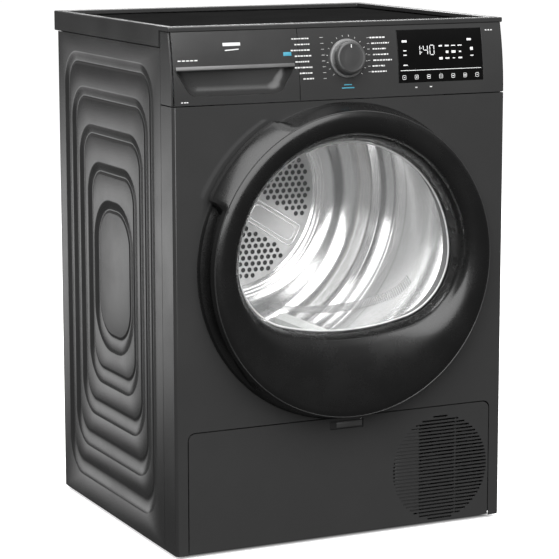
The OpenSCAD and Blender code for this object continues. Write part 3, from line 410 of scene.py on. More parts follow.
# a copy of a CAD piece with its corners rounded off
def softened(node, name, width, body, material=None, curved=False, angle=30, segments=2):
    source = frame["nodes"][node]
    only(source)
    bpy.ops.object.duplicate()
    piece = bpy.context.object
    piece.name = name
    piece.data.name = name
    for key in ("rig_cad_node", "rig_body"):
        if key in piece:
            del piece[key]
    piece.parent = None
    bpy.ops.object.mode_set(mode="EDIT")
    bpy.ops.mesh.select_all(action="SELECT")
    bpy.ops.mesh.remove_doubles(threshold=0.00002)
    bpy.ops.mesh.dissolve_limited(angle_limit=math.radians(0.6))
    bpy.ops.object.mode_set(mode="OBJECT")
    addModifier(piece, "BEVEL", width=width * mm, segments=segments, limit_method="ANGLE",
                angle_limit=math.radians(angle), use_clamp_overlap=True)
    finishPiece(piece, material or finishes[slotOf[node]], body, [node], 40, curved)
    if not curved:  # large faces stay flat beside their rounded corners
        for polygon in piece.data.polygons:
            polygon.use_smooth = max(abs(c) for c in polygon.normal) < 0.9999
    return piece


def bodyOf(node):
    return frame["nodes"][node]["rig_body"]


# ---- outline of the door opening ----

opening = {"centreZ": 466, "radius": 192, "cornerRadius": 110, "floorRadius": 450, "lowZ": 349}
doorZ = 462


def arcPoints(x, z, r, a0, a1, count):
    return [(x + r * math.cos(a0 + (a1 - a0) * i / count), z + r * math.sin(a0 + (a1 - a0) * i / count))
            for i in range(count + 1)]


def openingOutline(grow):
    o = opening
    floorZ = o["lowZ"] + o["floorRadius"]
    a, b = o["radius"] - o["cornerRadius"], o["floorRadius"] - o["cornerRadius"]
    cornerZ = (floorZ + o["centreZ"]) / 2 + (a * a - b * b) / (2 * (floorZ - o["centreZ"]))
    cornerX = math.sqrt(a * a - (cornerZ - o["centreZ"]) ** 2)
    up = math.atan2(cornerZ - o["centreZ"], cornerX)
    low = math.atan2(cornerZ - floorZ, cornerX)
    turn = 2 * math.pi
    return (arcPoints(0, o["centreZ"], o["radius"] + grow, up, math.pi - up, 120)
            + arcPoints(-cornerX, cornerZ, o["cornerRadius"] + grow, math.pi - up, math.pi - low, 50)
            + arcPoints(0, floorZ, o["floorRadius"] + grow, math.pi - low, turn + low, 60)
            + arcPoints(cornerX, cornerZ, o["cornerRadius"] + grow, low, up, 50))


def polarTable(grow):
    rows = sorted((math.atan2(z - doorZ, x) % (2 * math.pi), math.hypot(x, z - doorZ))
                  for x, z in openingOutline(grow))
    rows = [(rows[-1][0] - 2 * math.pi, rows[-1][1])] + rows + [(rows[0][0] + 2 * math.pi, rows[0][1])]
    return rows


def openingRadius(table, angle):
    angle = angle % (2 * math.pi)
    for (a0, r0), (a1, r1) in zip(table, table[1:]):
        if a0 <= angle <= a1:
            return r0 + (r1 - r0) * (angle - a0) / max(a1 - a0, 1e-9)
    return table[0][1]


# rows are (radius, y, share, grow): share 0 is a circle and share 1 the opening grown by that much
def latheToOpening(name, rows, steps=192, closed=True, extra=None):
    piece = lathe(name, rows, 0, doorZ, steps, closed)
    tables = {}
    keyed = {}
    for row in rows:
        keyed[(round(row[0], 1), round(row[1], 1))] = row
        tables.setdefault(row[3], polarTable(row[3]))
    for vertex in piece.data.vertices:
        x, y, z = vertex.co.x / mm, (vertex.co.y - frontY) / mm, vertex.co.z / mm
        radius, angle = math.hypot(x, z - doorZ), math.atan2(z - doorZ, x)
        row = keyed.get((round(radius, 1), round(y, 1)))
        if row is None:
            row = min(rows, key=lambda r: abs(r[0] - radius) + abs(r[1] - y))
        r = row[0] + (openingRadius(tables[row[3]], angle) - row[0]) * row[2]
        if extra:
            r, y = extra(row, angle, r, y)
        vertex.co = point(r * math.cos(angle), y, doorZ + r * math.sin(angle))
    return piece


def ease(value, low, high):
    t = max(0.0, min(1.0, (value - low) / (high - low)))
    return t * t * (3 - 2 * t)


# ---- door ----

door = {"proud": 48, "lip": 12, "gripFrom": 117, "gripTo": 155, "grooveTo": 236,
        "gripRows": {(256.5, -5.0): (257.5, -4.0), (255.8, -7.5): (264, -6.0), (254.8, -10.0): (268.8, -9.0),
                     (251.0, -30.5): (269.6, -22.5), (250.2, -34.0): (266.5, -27.5), (248.6, -40.0): (252.5, -40.2),
                     (246.2, -44.5): (247.0, -44.2)},
        "grooveRows": {(254.8, -10.0): 12.5, (251.0, -30.5): 9.0},
        "beadRows": [(245.8, -44.5), (246.9, -44.9), (247.6, -44.2), (247.9, -43.2), (247.2, -42.2), (246.2, -42.8)]}


def shapeDoorWall(row, angle, r, y):
    degrees = math.degrees(angle) % 360
    key = (row[0], row[1])
    if key in door["gripRows"]:
        share = ease(degrees, door["gripFrom"] - 3, door["gripFrom"] + 3)
        share *= 1 - ease(degrees, door["gripTo"] - 0.8, door["gripTo"] + 0.8)
        gr, gy = door["gripRows"][key]
        r, y = r + (gr - r) * share, y + (gy - y) * share
    if key in door["grooveRows"]:
        share = ease(degrees, door["gripTo"] + 0.4, door["gripTo"] + 2.2) * (1 - ease(degrees, 204, door["grooveTo"]))
        r -= door["grooveRows"][key] * share
    return r, y


def makeDoor():
    nose = door["proud"]
    rows = [(258.0, -0.6, 0, 0), (258.2, -2.6, 0, 0), (256.5, -5.0, 0, 0), (255.8, -7.5, 0, 0),
            (254.8, -10.0, 0, 0), (251.0, -30.5, 0, 0), (250.2, -34.0, 0, 0), (248.6, -40.0, 0, 0),
            (246.2, -44.5, 0, 0), (241.5, -47.3, 0, 0), (236.5, -nose, 0, 0)]
    faceSteps = 9
    for i in range(1, faceSteps + 1):  # the face falls gently towards the opening
        t = i / faceSteps
        rows.append((236 - 24 * t, -nose + 15 * t ** 2.2, t, door["lip"]))
    lip = door["lip"]
    rows += [(209.0, -31.0, 1, lip - 2.4), (207.0, -28.0, 1, lip - 4.6), (205.5, -23.5, 1, lip - 6.6),
             (204.5, -17.0, 1, lip - 8.2), (203.8, -10.0, 1, lip - 9.6), (203.0, -5.0, 1, lip - 10.6),
             (203.5, -3.4, 1, lip - 8.0), (222.0, -3.2, 0.4, lip), (244.0, -3.0, 0, 0), (252.0, -0.8, 0, 0)]
    trim = latheToOpening("doorRing", rows, 240, True, shapeDoorWall)
    tidyNormals(trim)
    finishPiece(trim, finishes["gloss_black"], "door", ["door_trim"], 28)

    glass = [(196.0, -4.6, 1, 0.8), (197.0, -1.8, 1, 1.2), (191.0, -0.6, 1, -2.5), (186.0, 8.0, 1, -8.0),
             (180.0, 22.0, 1, -14.5), (174.0, 36.0, 1, -21.0), (169.0, 44.0, 1, -26.5), (163.0, 48.4, 1, -32.0),
             (155.0, 49.6, 1, -40.0), (110.0, 49.9, 0.55, -80.0), (60.0, 50.0, 0, 0), (0.01, 50.0, 0, 0)]
    bowl = latheToOpening("doorBowl", glass, 192, False)
    addModifier(bowl, "SOLIDIFY", thickness=3.6 * mm, offset=0)
    tidyNormals(bowl)
    finishPiece(bowl, finishes["clear_glass"], "door", ["door_glass"], 40)

    # the rim carries the painted highlight of the glass edge
    rim = latheToOpening("bowlRim", [(193.0, -4.8, 1, -0.4), (192.0, -6.4, 1, -0.8), (190.5, -6.6, 1, -2.2),
                                     (189.5, -5.4, 1, -3.2), (190.0, -4.0, 1, -2.4)], 192, True)
    tidyNormals(rim)
    finishPiece(rim, rimShine, "door", (), 60)

    # a thin lighter bead on the ring's outer edge: a painted highlight line standing in for the edge's reflection
    bead = lathe("doorEdgeBead", door["beadRows"], 0, doorZ, 240)
    tidyNormals(bead)
    finishPiece(bead, edgeGrey, "door", (), 60)
    print("door ring and bowl made")


discSteel = sheetMetal("discSteel", grey(0.6), 0.46, (1, 1, 1))
# opaque pale grey for the bowl's rim: a painted highlight standing in for the bright edge of the clear glass
rimShine = moulded("rimShine", grey(0.55), 0.08, 0.00001, 400, 0.2, 0.6)
# opaque grey for the glass ribs: a painted sheen standing in for the look of the clear glass
ribShine = moulded("ribShine", grey(0.22), 0.12, 0.00001, 400, 0.2, 0.3)
# lighter grey for the door's edge bead: painted highlight
edgeGrey = moulded("edgeGrey", grey(0.03), 0.34, 0.00002, 400, 0.2, 0.2)
makeDoor()


# ---- slanted ribs along the lower rear edge of the bowl ----

bowlRibs = {"from": 211, "to": 342, "step": 1.45, "slant": 4.2, "frontY": 38.5, "rearY": 49.2, "frontGrow": -22.6,
            "rearGrow": -33.4, "radius": 0.95}


def makeBowlRibs():
    b = bowlRibs
    front, rear = polarTable(b["frontGrow"]), polarTable(b["rearGrow"])
    bpy.ops.object.select_all(action="DESELECT")
    bpy.ops.mesh.primitive_cylinder_add(vertices=8, radius=b["radius"] * mm, depth=16 * mm, location=(0, 0, 0))
    template = bpy.context.object
    addModifier(template, "BEVEL", width=0.3 * mm, segments=1, limit_method="ANGLE")
    ribs = []
    for k in range(int((b["to"] - b["from"]) / b["step"])):
        ends = []
        for table, y, turn in ((front, b["frontY"], 0), (rear, b["rearY"], b["slant"])):
            angle = math.radians(b["from"] + b["step"] * k + turn)
            r = openingRadius(table, angle)
            ends.append(point(r * math.cos(angle), y, doorZ + r * math.sin(angle)))
        rib = template.copy()
        rib.data = template.data.copy()
        scene.collection.objects.link(rib)
        rib.location = (ends[0] + ends[1]) / 2
        rib.rotation_euler = (ends[1] - ends[0]).to_track_quat("Z", "Y").to_euler()
        ribs.append(rib)
    bpy.data.objects.remove(template)
    ribs = joinPieces(ribs, "bowlRibs")
    finishPiece(ribs, ribShine, "door", (), 60)
    print("bowl ribs made")


makeBowlRibs()


# ---- drum ----

drum = {"axisZ": 515, "radius": 280, "front": 42, "seam": 419, "disc": 457, "discR": 170,
        "holeR": 4.5, "pitch": 12.4, "spokeAngle": -32, "spokeHalf": 21, "spokeStart": 52, "spokeEnd": 160,
        "hubClear": 58, "fieldR": 162,
        "beads": [(120, 2.4, 7), (330, 3.2, 10), (402, 2.6, 3.2), (409.5, 2.6, 3.2), (417, 2.6, 3.2)]}


def bead(r, y, height, half):
    # five rows of a half-round bead that stands in from the wall
    shoulder, reach = r - height * 0.75, half * 0.6
    return [(r, y - half), (shoulder, y - reach), (r - height, y), (shoulder, y + reach), (r, y + half)]


# brushed steel with painted shade: its colour is made darker in bands beside the seam and in the dish's bend
def wallSteel():
    material, kit = newFinish("wallSteel")
    place = kit.coords()
    x, y, z = (kit.axis(place, name) for name in "XYZ")
    up = z - drum["axisZ"] * mm
    radius = kit.maths("SQRT", x * x + up * up)

    def shade(value, centre, half):
        return 1 - kit.spread(kit.maths("ABSOLUTE", value - centre), half * 0.35 * mm, half * mm)

    behindSeam = kit.spread(y, frontY + (drum["seam"] - 1) * mm, frontY + (drum["seam"] + 1) * mm)
    # painted shade in the base colour: one band in the dish's bend and several bands beside the seam
    foldPaintedShade = shade(radius, 0.216, 12) * behindSeam
    seamPaintedShade = (shade(y, frontY + 0.386, 16) * 0.75 + shade(y, frontY + 0.342, 5) * 0.4
                  + shade(y, frontY + 0.3, 4) * 0.25)
    streaks = kit.noise(600, 3, 0.6, (1, 0.06, 1))
    cloud = kit.noise(11, 4, 0.55)
    # this painted shade mask darkens the colour and roughens the steel a little
    dark = kit.maths("MINIMUM", foldPaintedShade * 0.85 + seamPaintedShade * (1 - behindSeam), 0.9)
    tone = kit.mixColour(dark, grey(0.8), grey(0.13))
    output(kit, **{"Base Color": kit.mixColour(cloud * 0.25, tone, grey(0.5)),
                   "Metallic": 0.8,
                   "Roughness": 0.13 + (streaks - 0.5) * 0.14 + (cloud - 0.5) * 0.06 + dark * 0.1,
                   "Normal": kit.bump(streaks, 0.00002)})
    return material


def makeDrum():
    wall = drum["radius"] - 1.2
    front, axisZ = drum["front"], drum["axisZ"]
    rows = [(wall + 1.0, front), (wall - 3, front + 0.5), (wall - 4, front + 3), (wall, front + 8)]
    for y, height, half in drum["beads"]:
        rows += bead(wall, y, height, half)
    rows += [(wall, drum["seam"] + 2), (wall + 1.0, drum["seam"] + 2)]
    shell = lathe("drumWall", rows, 0, axisZ, 192, True)
    finishPiece(shell, wallSteel(), "drum", ["drum_shell"], 40)

    dish = [(wall - 1.5, drum["seam"] - 2), (wall - 4, drum["seam"] + 2), (270, 422.5), (258, 424.5), (246, 427),
            (236, 430), (227, 434), (219, 439.5), (212, 445), (205, 449.5), (198, 452)]
    for r in (190, 183.5, 177):
        dish += [(r + 2.4, 453.5), (r + 1.2, 450.4), (r - 1.2, 450.4), (r - 2.4, 454.2)]
    dish += [(drum["discR"] + 1, 456.4), (drum["discR"] - 0.5, 457), (drum["discR"] - 0.5, 458), (192, 458),
             (208, 454), (224, 442), (250, 430), (wall - 0.8, 424), (wall - 0.8, drum["seam"] - 2)]
    rear = lathe("drumDish", dish, 0, axisZ, 192, True)
    finishPiece(rear, shell.data.materials[0], "drum", ["drum_back"], 40)

    # flat disc with its holes, filled as one outline
    bpy.ops.object.select_all(action="DESELECT")
    bpy.ops.curve.primitive_bezier_circle_add(radius=drum["discR"] * mm, location=point(0, drum["disc"], axisZ),
                                              rotation=(math.pi / 2, 0, 0))
    outline = bpy.context.object
    curve = outline.data
    curve.resolution_u = 24
    holes = []
    spokeTurns = [math.radians(drum["spokeAngle"] + 120 * k) for k in range(3)]
    pitch, rowStep = drum["pitch"], drum["pitch"] * math.sqrt(3) / 2
    count = int(drum["fieldR"] / rowStep) + 2
    for j in range(-count, count + 1):
        for i in range(-count, count + 1):
            u, v = (i + (j % 2) / 2) * pitch, j * rowStep
            r = math.hypot(u, v)
            off = [abs(v * math.cos(turn) - u * math.sin(turn))
                   for turn in spokeTurns if u * math.cos(turn) + v * math.sin(turn) > 0]
            if drum["hubClear"] < r < drum["fieldR"] and min(off, default=math.inf) >= drum["spokeHalf"] + 11:
                holes.append((u, v))
    for u, v in holes:  # each hole is one more closed ring of the outline
        ring = curve.splines.new("BEZIER")
        ring.bezier_points.add(3)
        ring.use_cyclic_u = True
        r, k = drum["holeR"] * mm, 0.5523 * drum["holeR"] * mm  # handle length for a round ring
        for bezier, (cx, cz) in zip(ring.bezier_points, ((1, 0), (0, 1), (-1, 0), (0, -1))):
            centre = Vector((u * mm + cx * r, v * mm + cz * r, 0))
            along = Vector((-cz, cx, 0)) * k
            bezier.co, bezier.handle_left, bezier.handle_right = centre, centre - along, centre + along
        ring.resolution_u = 3
    curve.dimensions = "2D"
    curve.fill_mode = "BOTH"
    curve.extrude = 0.6 * mm
    only(outline)
    bpy.ops.object.convert(target="MESH")
    disc = bpy.context.object
    disc.name = "drumDisc"
    tidyNormals(disc)
    finishPiece(disc, discSteel, "drum", (), 30)
    print("drum holes:", len(holes))

    # black sheet close behind the holes: painted shade, so the holes read as shadow
    holeShadeSheet = lathe("drumLining", [(0.01, 460), (192, 460), (192, 461.5), (0.01, 461.5)], 0, axisZ, 96, False)
    finishPiece(holeShadeSheet, finishes["matte_black"], "drum", ())

    # a pressed border round each spoke, and its hub
    for k, turn in enumerate(spokeTurns):
        for inset, wire in ((0, 1.5), (6.5, 1.1)):
            bpy.ops.object.select_all(action="DESELECT")
            bpy.ops.mesh.primitive_plane_add(size=1, location=(0, 0, 0))
            border = bpy.context.object
            border.name = "spokeBorder" + str(k) + ("Outer" if inset == 0 else "Inner")
            length = drum["spokeEnd"] - drum["spokeStart"] - 2 * inset
            half = drum["spokeHalf"] - inset
            border.dimensions = (length * mm, 2 * half * mm, 0)
            settle(border)
            bpy.ops.object.mode_set(mode="EDIT")
            bpy.ops.mesh.select_all(action="SELECT")
            bpy.ops.mesh.bevel(offset=9 * mm, segments=6, affect="VERTICES")
            bpy.ops.mesh.delete(type="ONLY_FACE")
            bpy.ops.object.mode_set(mode="OBJECT")
            bpy.ops.object.convert(target="CURVE")
            border.data.bevel_depth = wire * mm
            border.data.bevel_resolution = 3
            bpy.ops.object.convert(target="MESH")
            middle = drum["spokeStart"] + inset + length / 2
            border.rotation_euler = (math.pi / 2, -turn, 0)
            border.location = point(middle * math.cos(turn), drum["disc"] - 0.6, axisZ + middle * math.sin(turn))
            tidyNormals(border)
            finishPiece(border, finishes["drum_steel"], "drum", (), 60)
    hub = lathe("drumHub", [(0.01, 455.2), (34, 455.2), (40, 455.8), (44, 457), (44, 458), (0.01, 458)],
                0, axisZ, 96, False)
    finishPiece(hub, finishes["drum_steel"], "drum", ())


makeDrum()


# ---- pressed side panels ----

sidePanel = {"steps": [(0, 0, 1.2), (45, 45, 42), (73, 102, 42), (101, 163, 42), (133, 224, 42), (156, 285, 58)],
             "depth": 1.8, "front": 48.75, "rear": 503, "low": 6, "high": 811.7, "x": 297,
             "profile": [(0, 0, 0), (1.4, 0.5, 0.1), (3, 1.5, 0.38), (9, 7, 1.55), (15, 19, 2.74), (16.3, 23, 2.92),
                         (17.5, 25.5, 2.97), (18.7, 27, 2.9), (19.8, 28.1, 2.55), (21.0, 29.3, 2.06),
                         (21.8, 30.1, 1.86), (22.6, 30.9, 1.8)], "profileOut": 17, "lift": 11}


def roundedLoop(width, height, radius, x, y, z, arcSteps=12):
    places = []
    for k, (sy, sz) in enumerate(((1, 1), (-1, 1), (-1, -1), (1, -1))):
        for i in range(arcSteps + 1):
            angle = math.pi / 2 * (k + i / arcSteps)
            places.append(point(x, y + sy * (width / 2 - radius) + radius * math.cos(angle),
                                z + sz * (height / 2 - radius) + radius * math.sin(angle)))
    return places


def makeSidePanels():
    s = sidePanel
    middleY, middleZ = (s["front"] + s["rear"]) / 2, (s["low"] + s["high"]) / 2
    width, height = s["rear"] - s["front"], s["high"] - s["low"]
    loops = [roundedLoop(width, height, 1.0, -s["x"], middleY, middleZ)]
    for k in range(1, len(s["steps"])):
        insetY, insetZ, radius = s["steps"][k]
        for out, lowOut, deep in s["profile"]:
            grow = s["profileOut"] - out
            lift = s["lift"] + lowOut - out
            x = -s["x"] + (k - 1) * s["depth"] + deep
            loops.append(roundedLoop(width - 2 * (insetY - grow), height - 2 * (insetZ - grow) - lift, radius + grow,
                                     x, middleY, middleZ + lift / 2))
    loops.reverse()
    piece = growLoops("leftPressedPanel", loops)
    tidyNormals(piece)
    if piece.data.polygons[0].normal.x > 0:
        only(piece)
        bpy.ops.object.mode_set(mode="EDIT")
        bpy.ops.mesh.select_all(action="SELECT")
        bpy.ops.mesh.flip_normals()
        bpy.ops.object.mode_set(mode="OBJECT")
    addModifier(piece, "SOLIDIFY", thickness=1.0 * mm, offset=-1)
    only(piece)
    bpy.ops.object.duplicate()
    other = bpy.context.object
    other.name = "rightPressedPanel"
    bpy.ops.object.mode_set(mode="EDIT")
    bpy.ops.mesh.select_all(action="SELECT")
    bpy.ops.transform.resize(value=(-1, 1, 1), center_override=(0, 0, 0))
    bpy.ops.mesh.normals_make_consistent(inside=False)
    bpy.ops.object.mode_set(mode="OBJECT")
    finishPiece(piece, finishes["body_paint"], "cabinet", ["left_side_panel"], 50)
    finishPiece(other, finishes["body_paint"], "cabinet", ["right_side_panel"], 50)
    print("side panels made")


makeSidePanels()


# ---- cabinet covers with rounded corners ----

topBoardBlack = moulded("boardBlack", grey(0.012), 0.72, 0.00008, 1100, 0.1)
topBoardBlack.node_tree.nodes["Principled BSDF"].inputs["Specular IOR Level"].default_value = 0.0

# CAD piece, name, rounding in millimetres, own finish, curved or flat
covers = [("front_panel", "frontSheet", 0.5, None, False), ("top_frame", "topFrame", 1.6, None, False),
          ("top_board", "topBoard", 0.6, topBoardBlack, False), ("control_fascia", "fascia", 0.6, None, True),
          ("tank_front", "drawerFront", 0.8, None, True), ("kick_panel", "kickDoor", 0.5, None, False),
          ("kick_latch", "kickLatch", 0.5, None, False), ("rear_panel", "rearSheet", 0.4, None, False),
          ("rear_duct_cover", "rearDuct", 0.5, None, False),
          ("display_window", "displayLens", 0.3, None, True)]
covers += [(side + "_foot", name, 0.6, None, False)
           for side, name in (("front_left", "frontLeftFoot"), ("front_right", "frontRightFoot"),
                              ("rear_left", "rearLeftFoot"), ("rear_right", "rearRightFoot"))]
covers += [("mains_inlet", "mainsInlet", 0.5, None, False), ("drain_spigot", "drainSpigot", 0.5, None, False)]


def makeCovers():
    for node, name, width, material, curved in covers:
        softened(node, name, width, bodyOf(node), material, curved)
    dress(frame["nodes"]["base_tray"], finishes["matte_black"])
    dress(frame["nodes"]["front_bulkhead"], finishes["grey_plastic"])
    print("covers made:", len(covers))


makeCovers()


# ---- basin of the drawer's handle, and the closed part of the grille ----

basin = {"x0": -289.6, "x1": -87.4, "low": 738.4, "high": 778.6, "frontY": 0.6, "deep": 17.6, "cove": 15,
         "cornerR": 21.6, "endIn": 14.4}


def basinLoop(share):
    # the mouth of the basin drawn in along a quarter round
    b = basin
    turn = share * math.pi / 2
    inset, deep = b["cove"] * (1 - math.cos(turn)), b["frontY"] + (b["deep"] - b["frontY"]) * math.sin(turn)
    low, r = b["low"] + inset, max(4, b["cornerR"] - inset * 0.4)
    left, right = b["x0"] + b["endIn"] + inset, b["x1"] - b["endIn"] - inset
    places = [(b["x0"] + inset, b["high"])]
    for middle, angles in ((left + r, range(200, 271, 7)), (right - r, range(270, 341, 7))):
        places += [(middle + r * math.cos(math.radians(a)), low + r + r * math.sin(math.radians(a))) for a in angles]
    places += [(b["x1"] - inset, b["high"])]
    return [point(x, deep, z) for x, z in places]


def makeBasin():
    steps = 8
    loops = [basinLoop(k / steps) for k in range(steps + 1)]
    loops.reverse()
    piece = growLoops("drawerBasin", loops)
    addModifier(piece, "SOLIDIFY", thickness=0.4 * mm, offset=0)
    tidyNormals(piece)
    finishPiece(piece, basinGrey, "tank", (), 60)
    blind = block("grilleBlind", point(119, 2.0, 99), (44, 1.6, 140))
    addModifier(blind, "BEVEL", width=0.4 * mm, segments=2)
    finishPiece(blind, finishes["body_paint"], "kick_panel")
    print("basin and blind made")


basinGrey = coated("basinGrey", grey(0.03), 0.3)
makeBasin()


# ---- dial ----

dial = {"x": 7, "z": 789, "baseR": 31, "flutes": 48, "fluteR": 26.2, "fluteY": -10.2, "fluteSize": (0.9, 7.6, 0.9),
        "markerUp": 17.2, "markerProud": 17.6, "faceR": 21.4, "faceY": -0.012, "ringR": 26.8}
fascia = {"low": 724, "top": 838, "lean": 14}


def faceY(z):
    return fascia["lean"] * ((z - fascia["low"]) / (fascia["top"] - fascia["low"])) ** 2


def faceTilt(z):
    return math.atan(2 * fascia["lean"] * (z - fascia["low"]) / (fascia["top"] - fascia["low"]) ** 2)


# moves a piece modelled about the front plane onto the leaning fascia
def leanPiece(piece, x, z, proud=0.0):
    only(piece)
    bpy.ops.object.mode_set(mode="EDIT")
    bpy.ops.mesh.select_all(action="SELECT")
    bpy.ops.transform.translate(value=Vector((0, (faceY(z) - proud) * mm, 0)))
    bpy.ops.object.mode_set(mode="OBJECT")
    turn = Matrix.Rotation(-faceTilt(z), 4, "X")
    centre = point(x, faceY(z) - proud, z)
    piece.data.transform(Matrix.Translation(centre) @ turn @ Matrix.Translation(-centre))


def makeDial():
    d = dial
    rows = [(d["baseR"], 0.4), (d["baseR"], -1.6), (d["baseR"] - 0.8, -2.6), (d["baseR"] - 2.2, -3.0),
            (27.6, -4.4), (26.6, -8.0), (25.8, -13.0), (25.0, -15.6), (24.0, -16.9), (22.6, -17.4),
            (21.6, -17.2), (21.2, -16.6), (20.6, -16.5), (12, -16.9), (0.01, -17.0)]
    knob = lathe("dialKnob", rows, d["x"], d["z"], 128, False)
    leanPiece(knob, d["x"], d["z"])
    finishPiece(knob, finishes["knob_metal"], "knob", ["selector_knob"], 35)
    knob.data.materials.append(dialFace)
    knob.data.materials.append(dialRing)
    centre = point(d["x"], faceY(d["z"]), d["z"])
    for polygon in knob.data.polygons:
        reach = polygon.center - centre
        r = math.hypot(reach.x, reach.z) / mm
        if r < d["faceR"] and reach.y < d["faceY"]:
            polygon.material_index = 1
        elif r > d["ringR"]:
            polygon.material_index = 2
    markBar("dialMarker", d["x"], d["z"] + d["markerUp"], 1.6, 5.0, d["markerProud"], "knob", thick=0.12)
    grips = []
    for k in range(d["flutes"]):  # fine flutes round the side
        turn = 2 * math.pi * k / d["flutes"]
        place = point(d["x"] + d["fluteR"] * math.cos(turn), d["fluteY"], d["z"] + d["fluteR"] * math.sin(turn))
        grips.append(block("flute", place, d["fluteSize"], turn))
    flutes = joinPieces(grips, "dialFlutes")
    leanPiece(flutes, d["x"], d["z"])
    addModifier(flutes, "BEVEL", width=0.25 * mm, segments=2, limit_method="NONE")
    finishPiece(flutes, finishes["knob_metal"], "knob", ())
    print("dial made")


# a thin printed mark that follows the fascia
def markBar(name, x, z, width, height, proud=0.06, body="cabinet", material=None, turn=0.0, thick=0.1):
    bar = block(name, point(x, -proud, z), (width, thick, height), turn)
    addModifier(bar, "BEVEL", width=min(width, height) * 0.3 * mm, segments=2, limit_method="NONE",
                use_clamp_overlap=True)
    centre = point(x, 0, z)
    lean = Matrix.Rotation(-faceTilt(z), 4, "X")
    bar.data.transform(Matrix.Translation(point(x, faceY(z), z)) @ lean @ Matrix.Translation(-centre))
    finishPiece(bar, material or printWhite, body, ())
    return bar


dialFace = moulded("dialFace", grey(0.035), 0.3, 0.00001, 600, 0.1, 0.2)
dialRing = moulded("dialRing", grey(0.16), 0.3, 0.00001, 600, 0.08, 0.2)
makeDial()


# ---- printed marks and the display ----

# each row of label bars is (x, z, length)
marks = {"rowsLeft": [(-62, 822, 40), (-60, 813, 34), (-64, 804, 42), (-60, 795, 36), (-62, 786, 30), (-60, 777, 38),
                      (-56, 768, 28), (-52, 759, 24)],
         "rowsRight": [(52, 820, 34), (54, 811, 40), (56, 802, 30), (56, 793, 36), (56, 784, 42), (54, 775, 28),
                       (52, 766, 34)],
         "ticks": 16, "tickR": 35.5, "tickStep": 18}


def labelBars(x0, z, length, rng, gap=1.2):
    bars = []
    x = x0
    while x < x0 + length:
        width = min(rng.uniform(2.0, 5.5), x0 + length - x)
        if width > 0.8:
            bars.append(markBar("labelBar", x + width / 2, z, width, rng.choice((1.9, 2.2))))
        x += width + gap
    return bars


# lighter grey for the handle's lip: a painted highlight where the lip catches the top light
lipGrey = moulded("lipGrey", grey(0.13), 0.3, 0.00002, 700, 0.1, 0.1)


def makeMarks():
    rng = random.Random(7)
    made = []
    for x, z, length in marks["rowsLeft"]:
        made += labelBars(x - length * 0.42 - 10, z, length * 0.8, rng)
    for x, z, length in marks["rowsRight"]:
        made += labelBars(x - 2, z, length * 0.8, rng)
    for k, (x, z, length) in enumerate(marks["rowsLeft"]):  # leader lines towards the dial
        made.append(markBar("leader", -36.5 + 0.4 * k, z - 0.2 * (k - 4), 5.5, 0.5))
    for k, (x, z, length) in enumerate(marks["rowsRight"]):
        made.append(markBar("leader", 46.5, z, 4.5, 0.5))
    for k in range(marks["ticks"]):  # ticks round the dial
        a = math.radians(90 + (k - (marks["ticks"] - 1) / 2) * marks["tickStep"])
        x, z = dial["x"] + marks["tickR"] * math.cos(a), dial["z"] + marks["tickR"] * math.sin(a)
        made.append(markBar("tick", x, z, 2.6, 0.6, turn=a))
    printed = joinPieces(made, "programMarks")
    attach(printed, "cabinet")
    blue = [markBar("blueBar", 7, z, width, 1.8, material=printBlue)
            for z, width in ((742, 22), (747, 14))]
    joinPieces(blue, "blueMarks")

    # neutral badges on the drawer front: two bars and a rounded blue tab
    badge = [markBar("badge", -193, 817, 30, 5.0, body="tank"),
             markBar("badge", -193, 808.5, 24, 1.6, body="tank", turn=0.06)]
    joinPieces(badge, "drawerBadge")
    tab = [markBar("tab", x, 794, 5.2, 1.8, body="tank") for x in (-283, -276, -269, -262, -255)]
    joinPieces(tab, "drawerMarks")
    markBar("drawerBlueTab", -98, 799, 14, 6, body="tank", material=printBlue)
    # a thin lighter bar along the handle's lip: painted highlight
    markBar("handleLip", -188.5, 782, 203, 5.4, 1.62, "tank", lipGrey, thick=0.3)
    small = [markBar("small", x, 730, 3.2, 1.8, body="tank") for x in (-281, -276, -272)]
    joinPieces(small, "drawerSizeMarks")
    print("marks printed")


def segmentDigit(x, z, width, height, lit, lens):
    # one seven-segment figure, with its segments as separate bars
    half = height / 2
    spots = {"a": (0, half, 1), "g": (0, 0, 1), "d": (0, -half, 1), "f": (-width / 2, half / 2, 0),
             "b": (width / 2, half / 2, 0), "e": (-width / 2, -half / 2, 0), "c": (width / 2, -half / 2, 0)}
    bars = []
    for key in lit:
        dx, dz, flat = spots[key]
        w, h = (width * 0.76, 1.3) if flat else (1.3, half * 0.82)
        bars.append(markBar("segment", x + dx, z + dz, w, h, lens, material=displayGlow))
    return bars


# figures are (lit segments, x); the lens height is where marks stand just proud of it
display = {"lens": 0.52, "figures": (("bc", 136), ("fgbc", 150), ("abcdef", 162)), "figureZ": 797, "colonX": 142.6,
           "keys": 7, "keyX": 109, "keyPitch": 22.6, "keyZ": 754.5, "underKeys": (131, 158)}


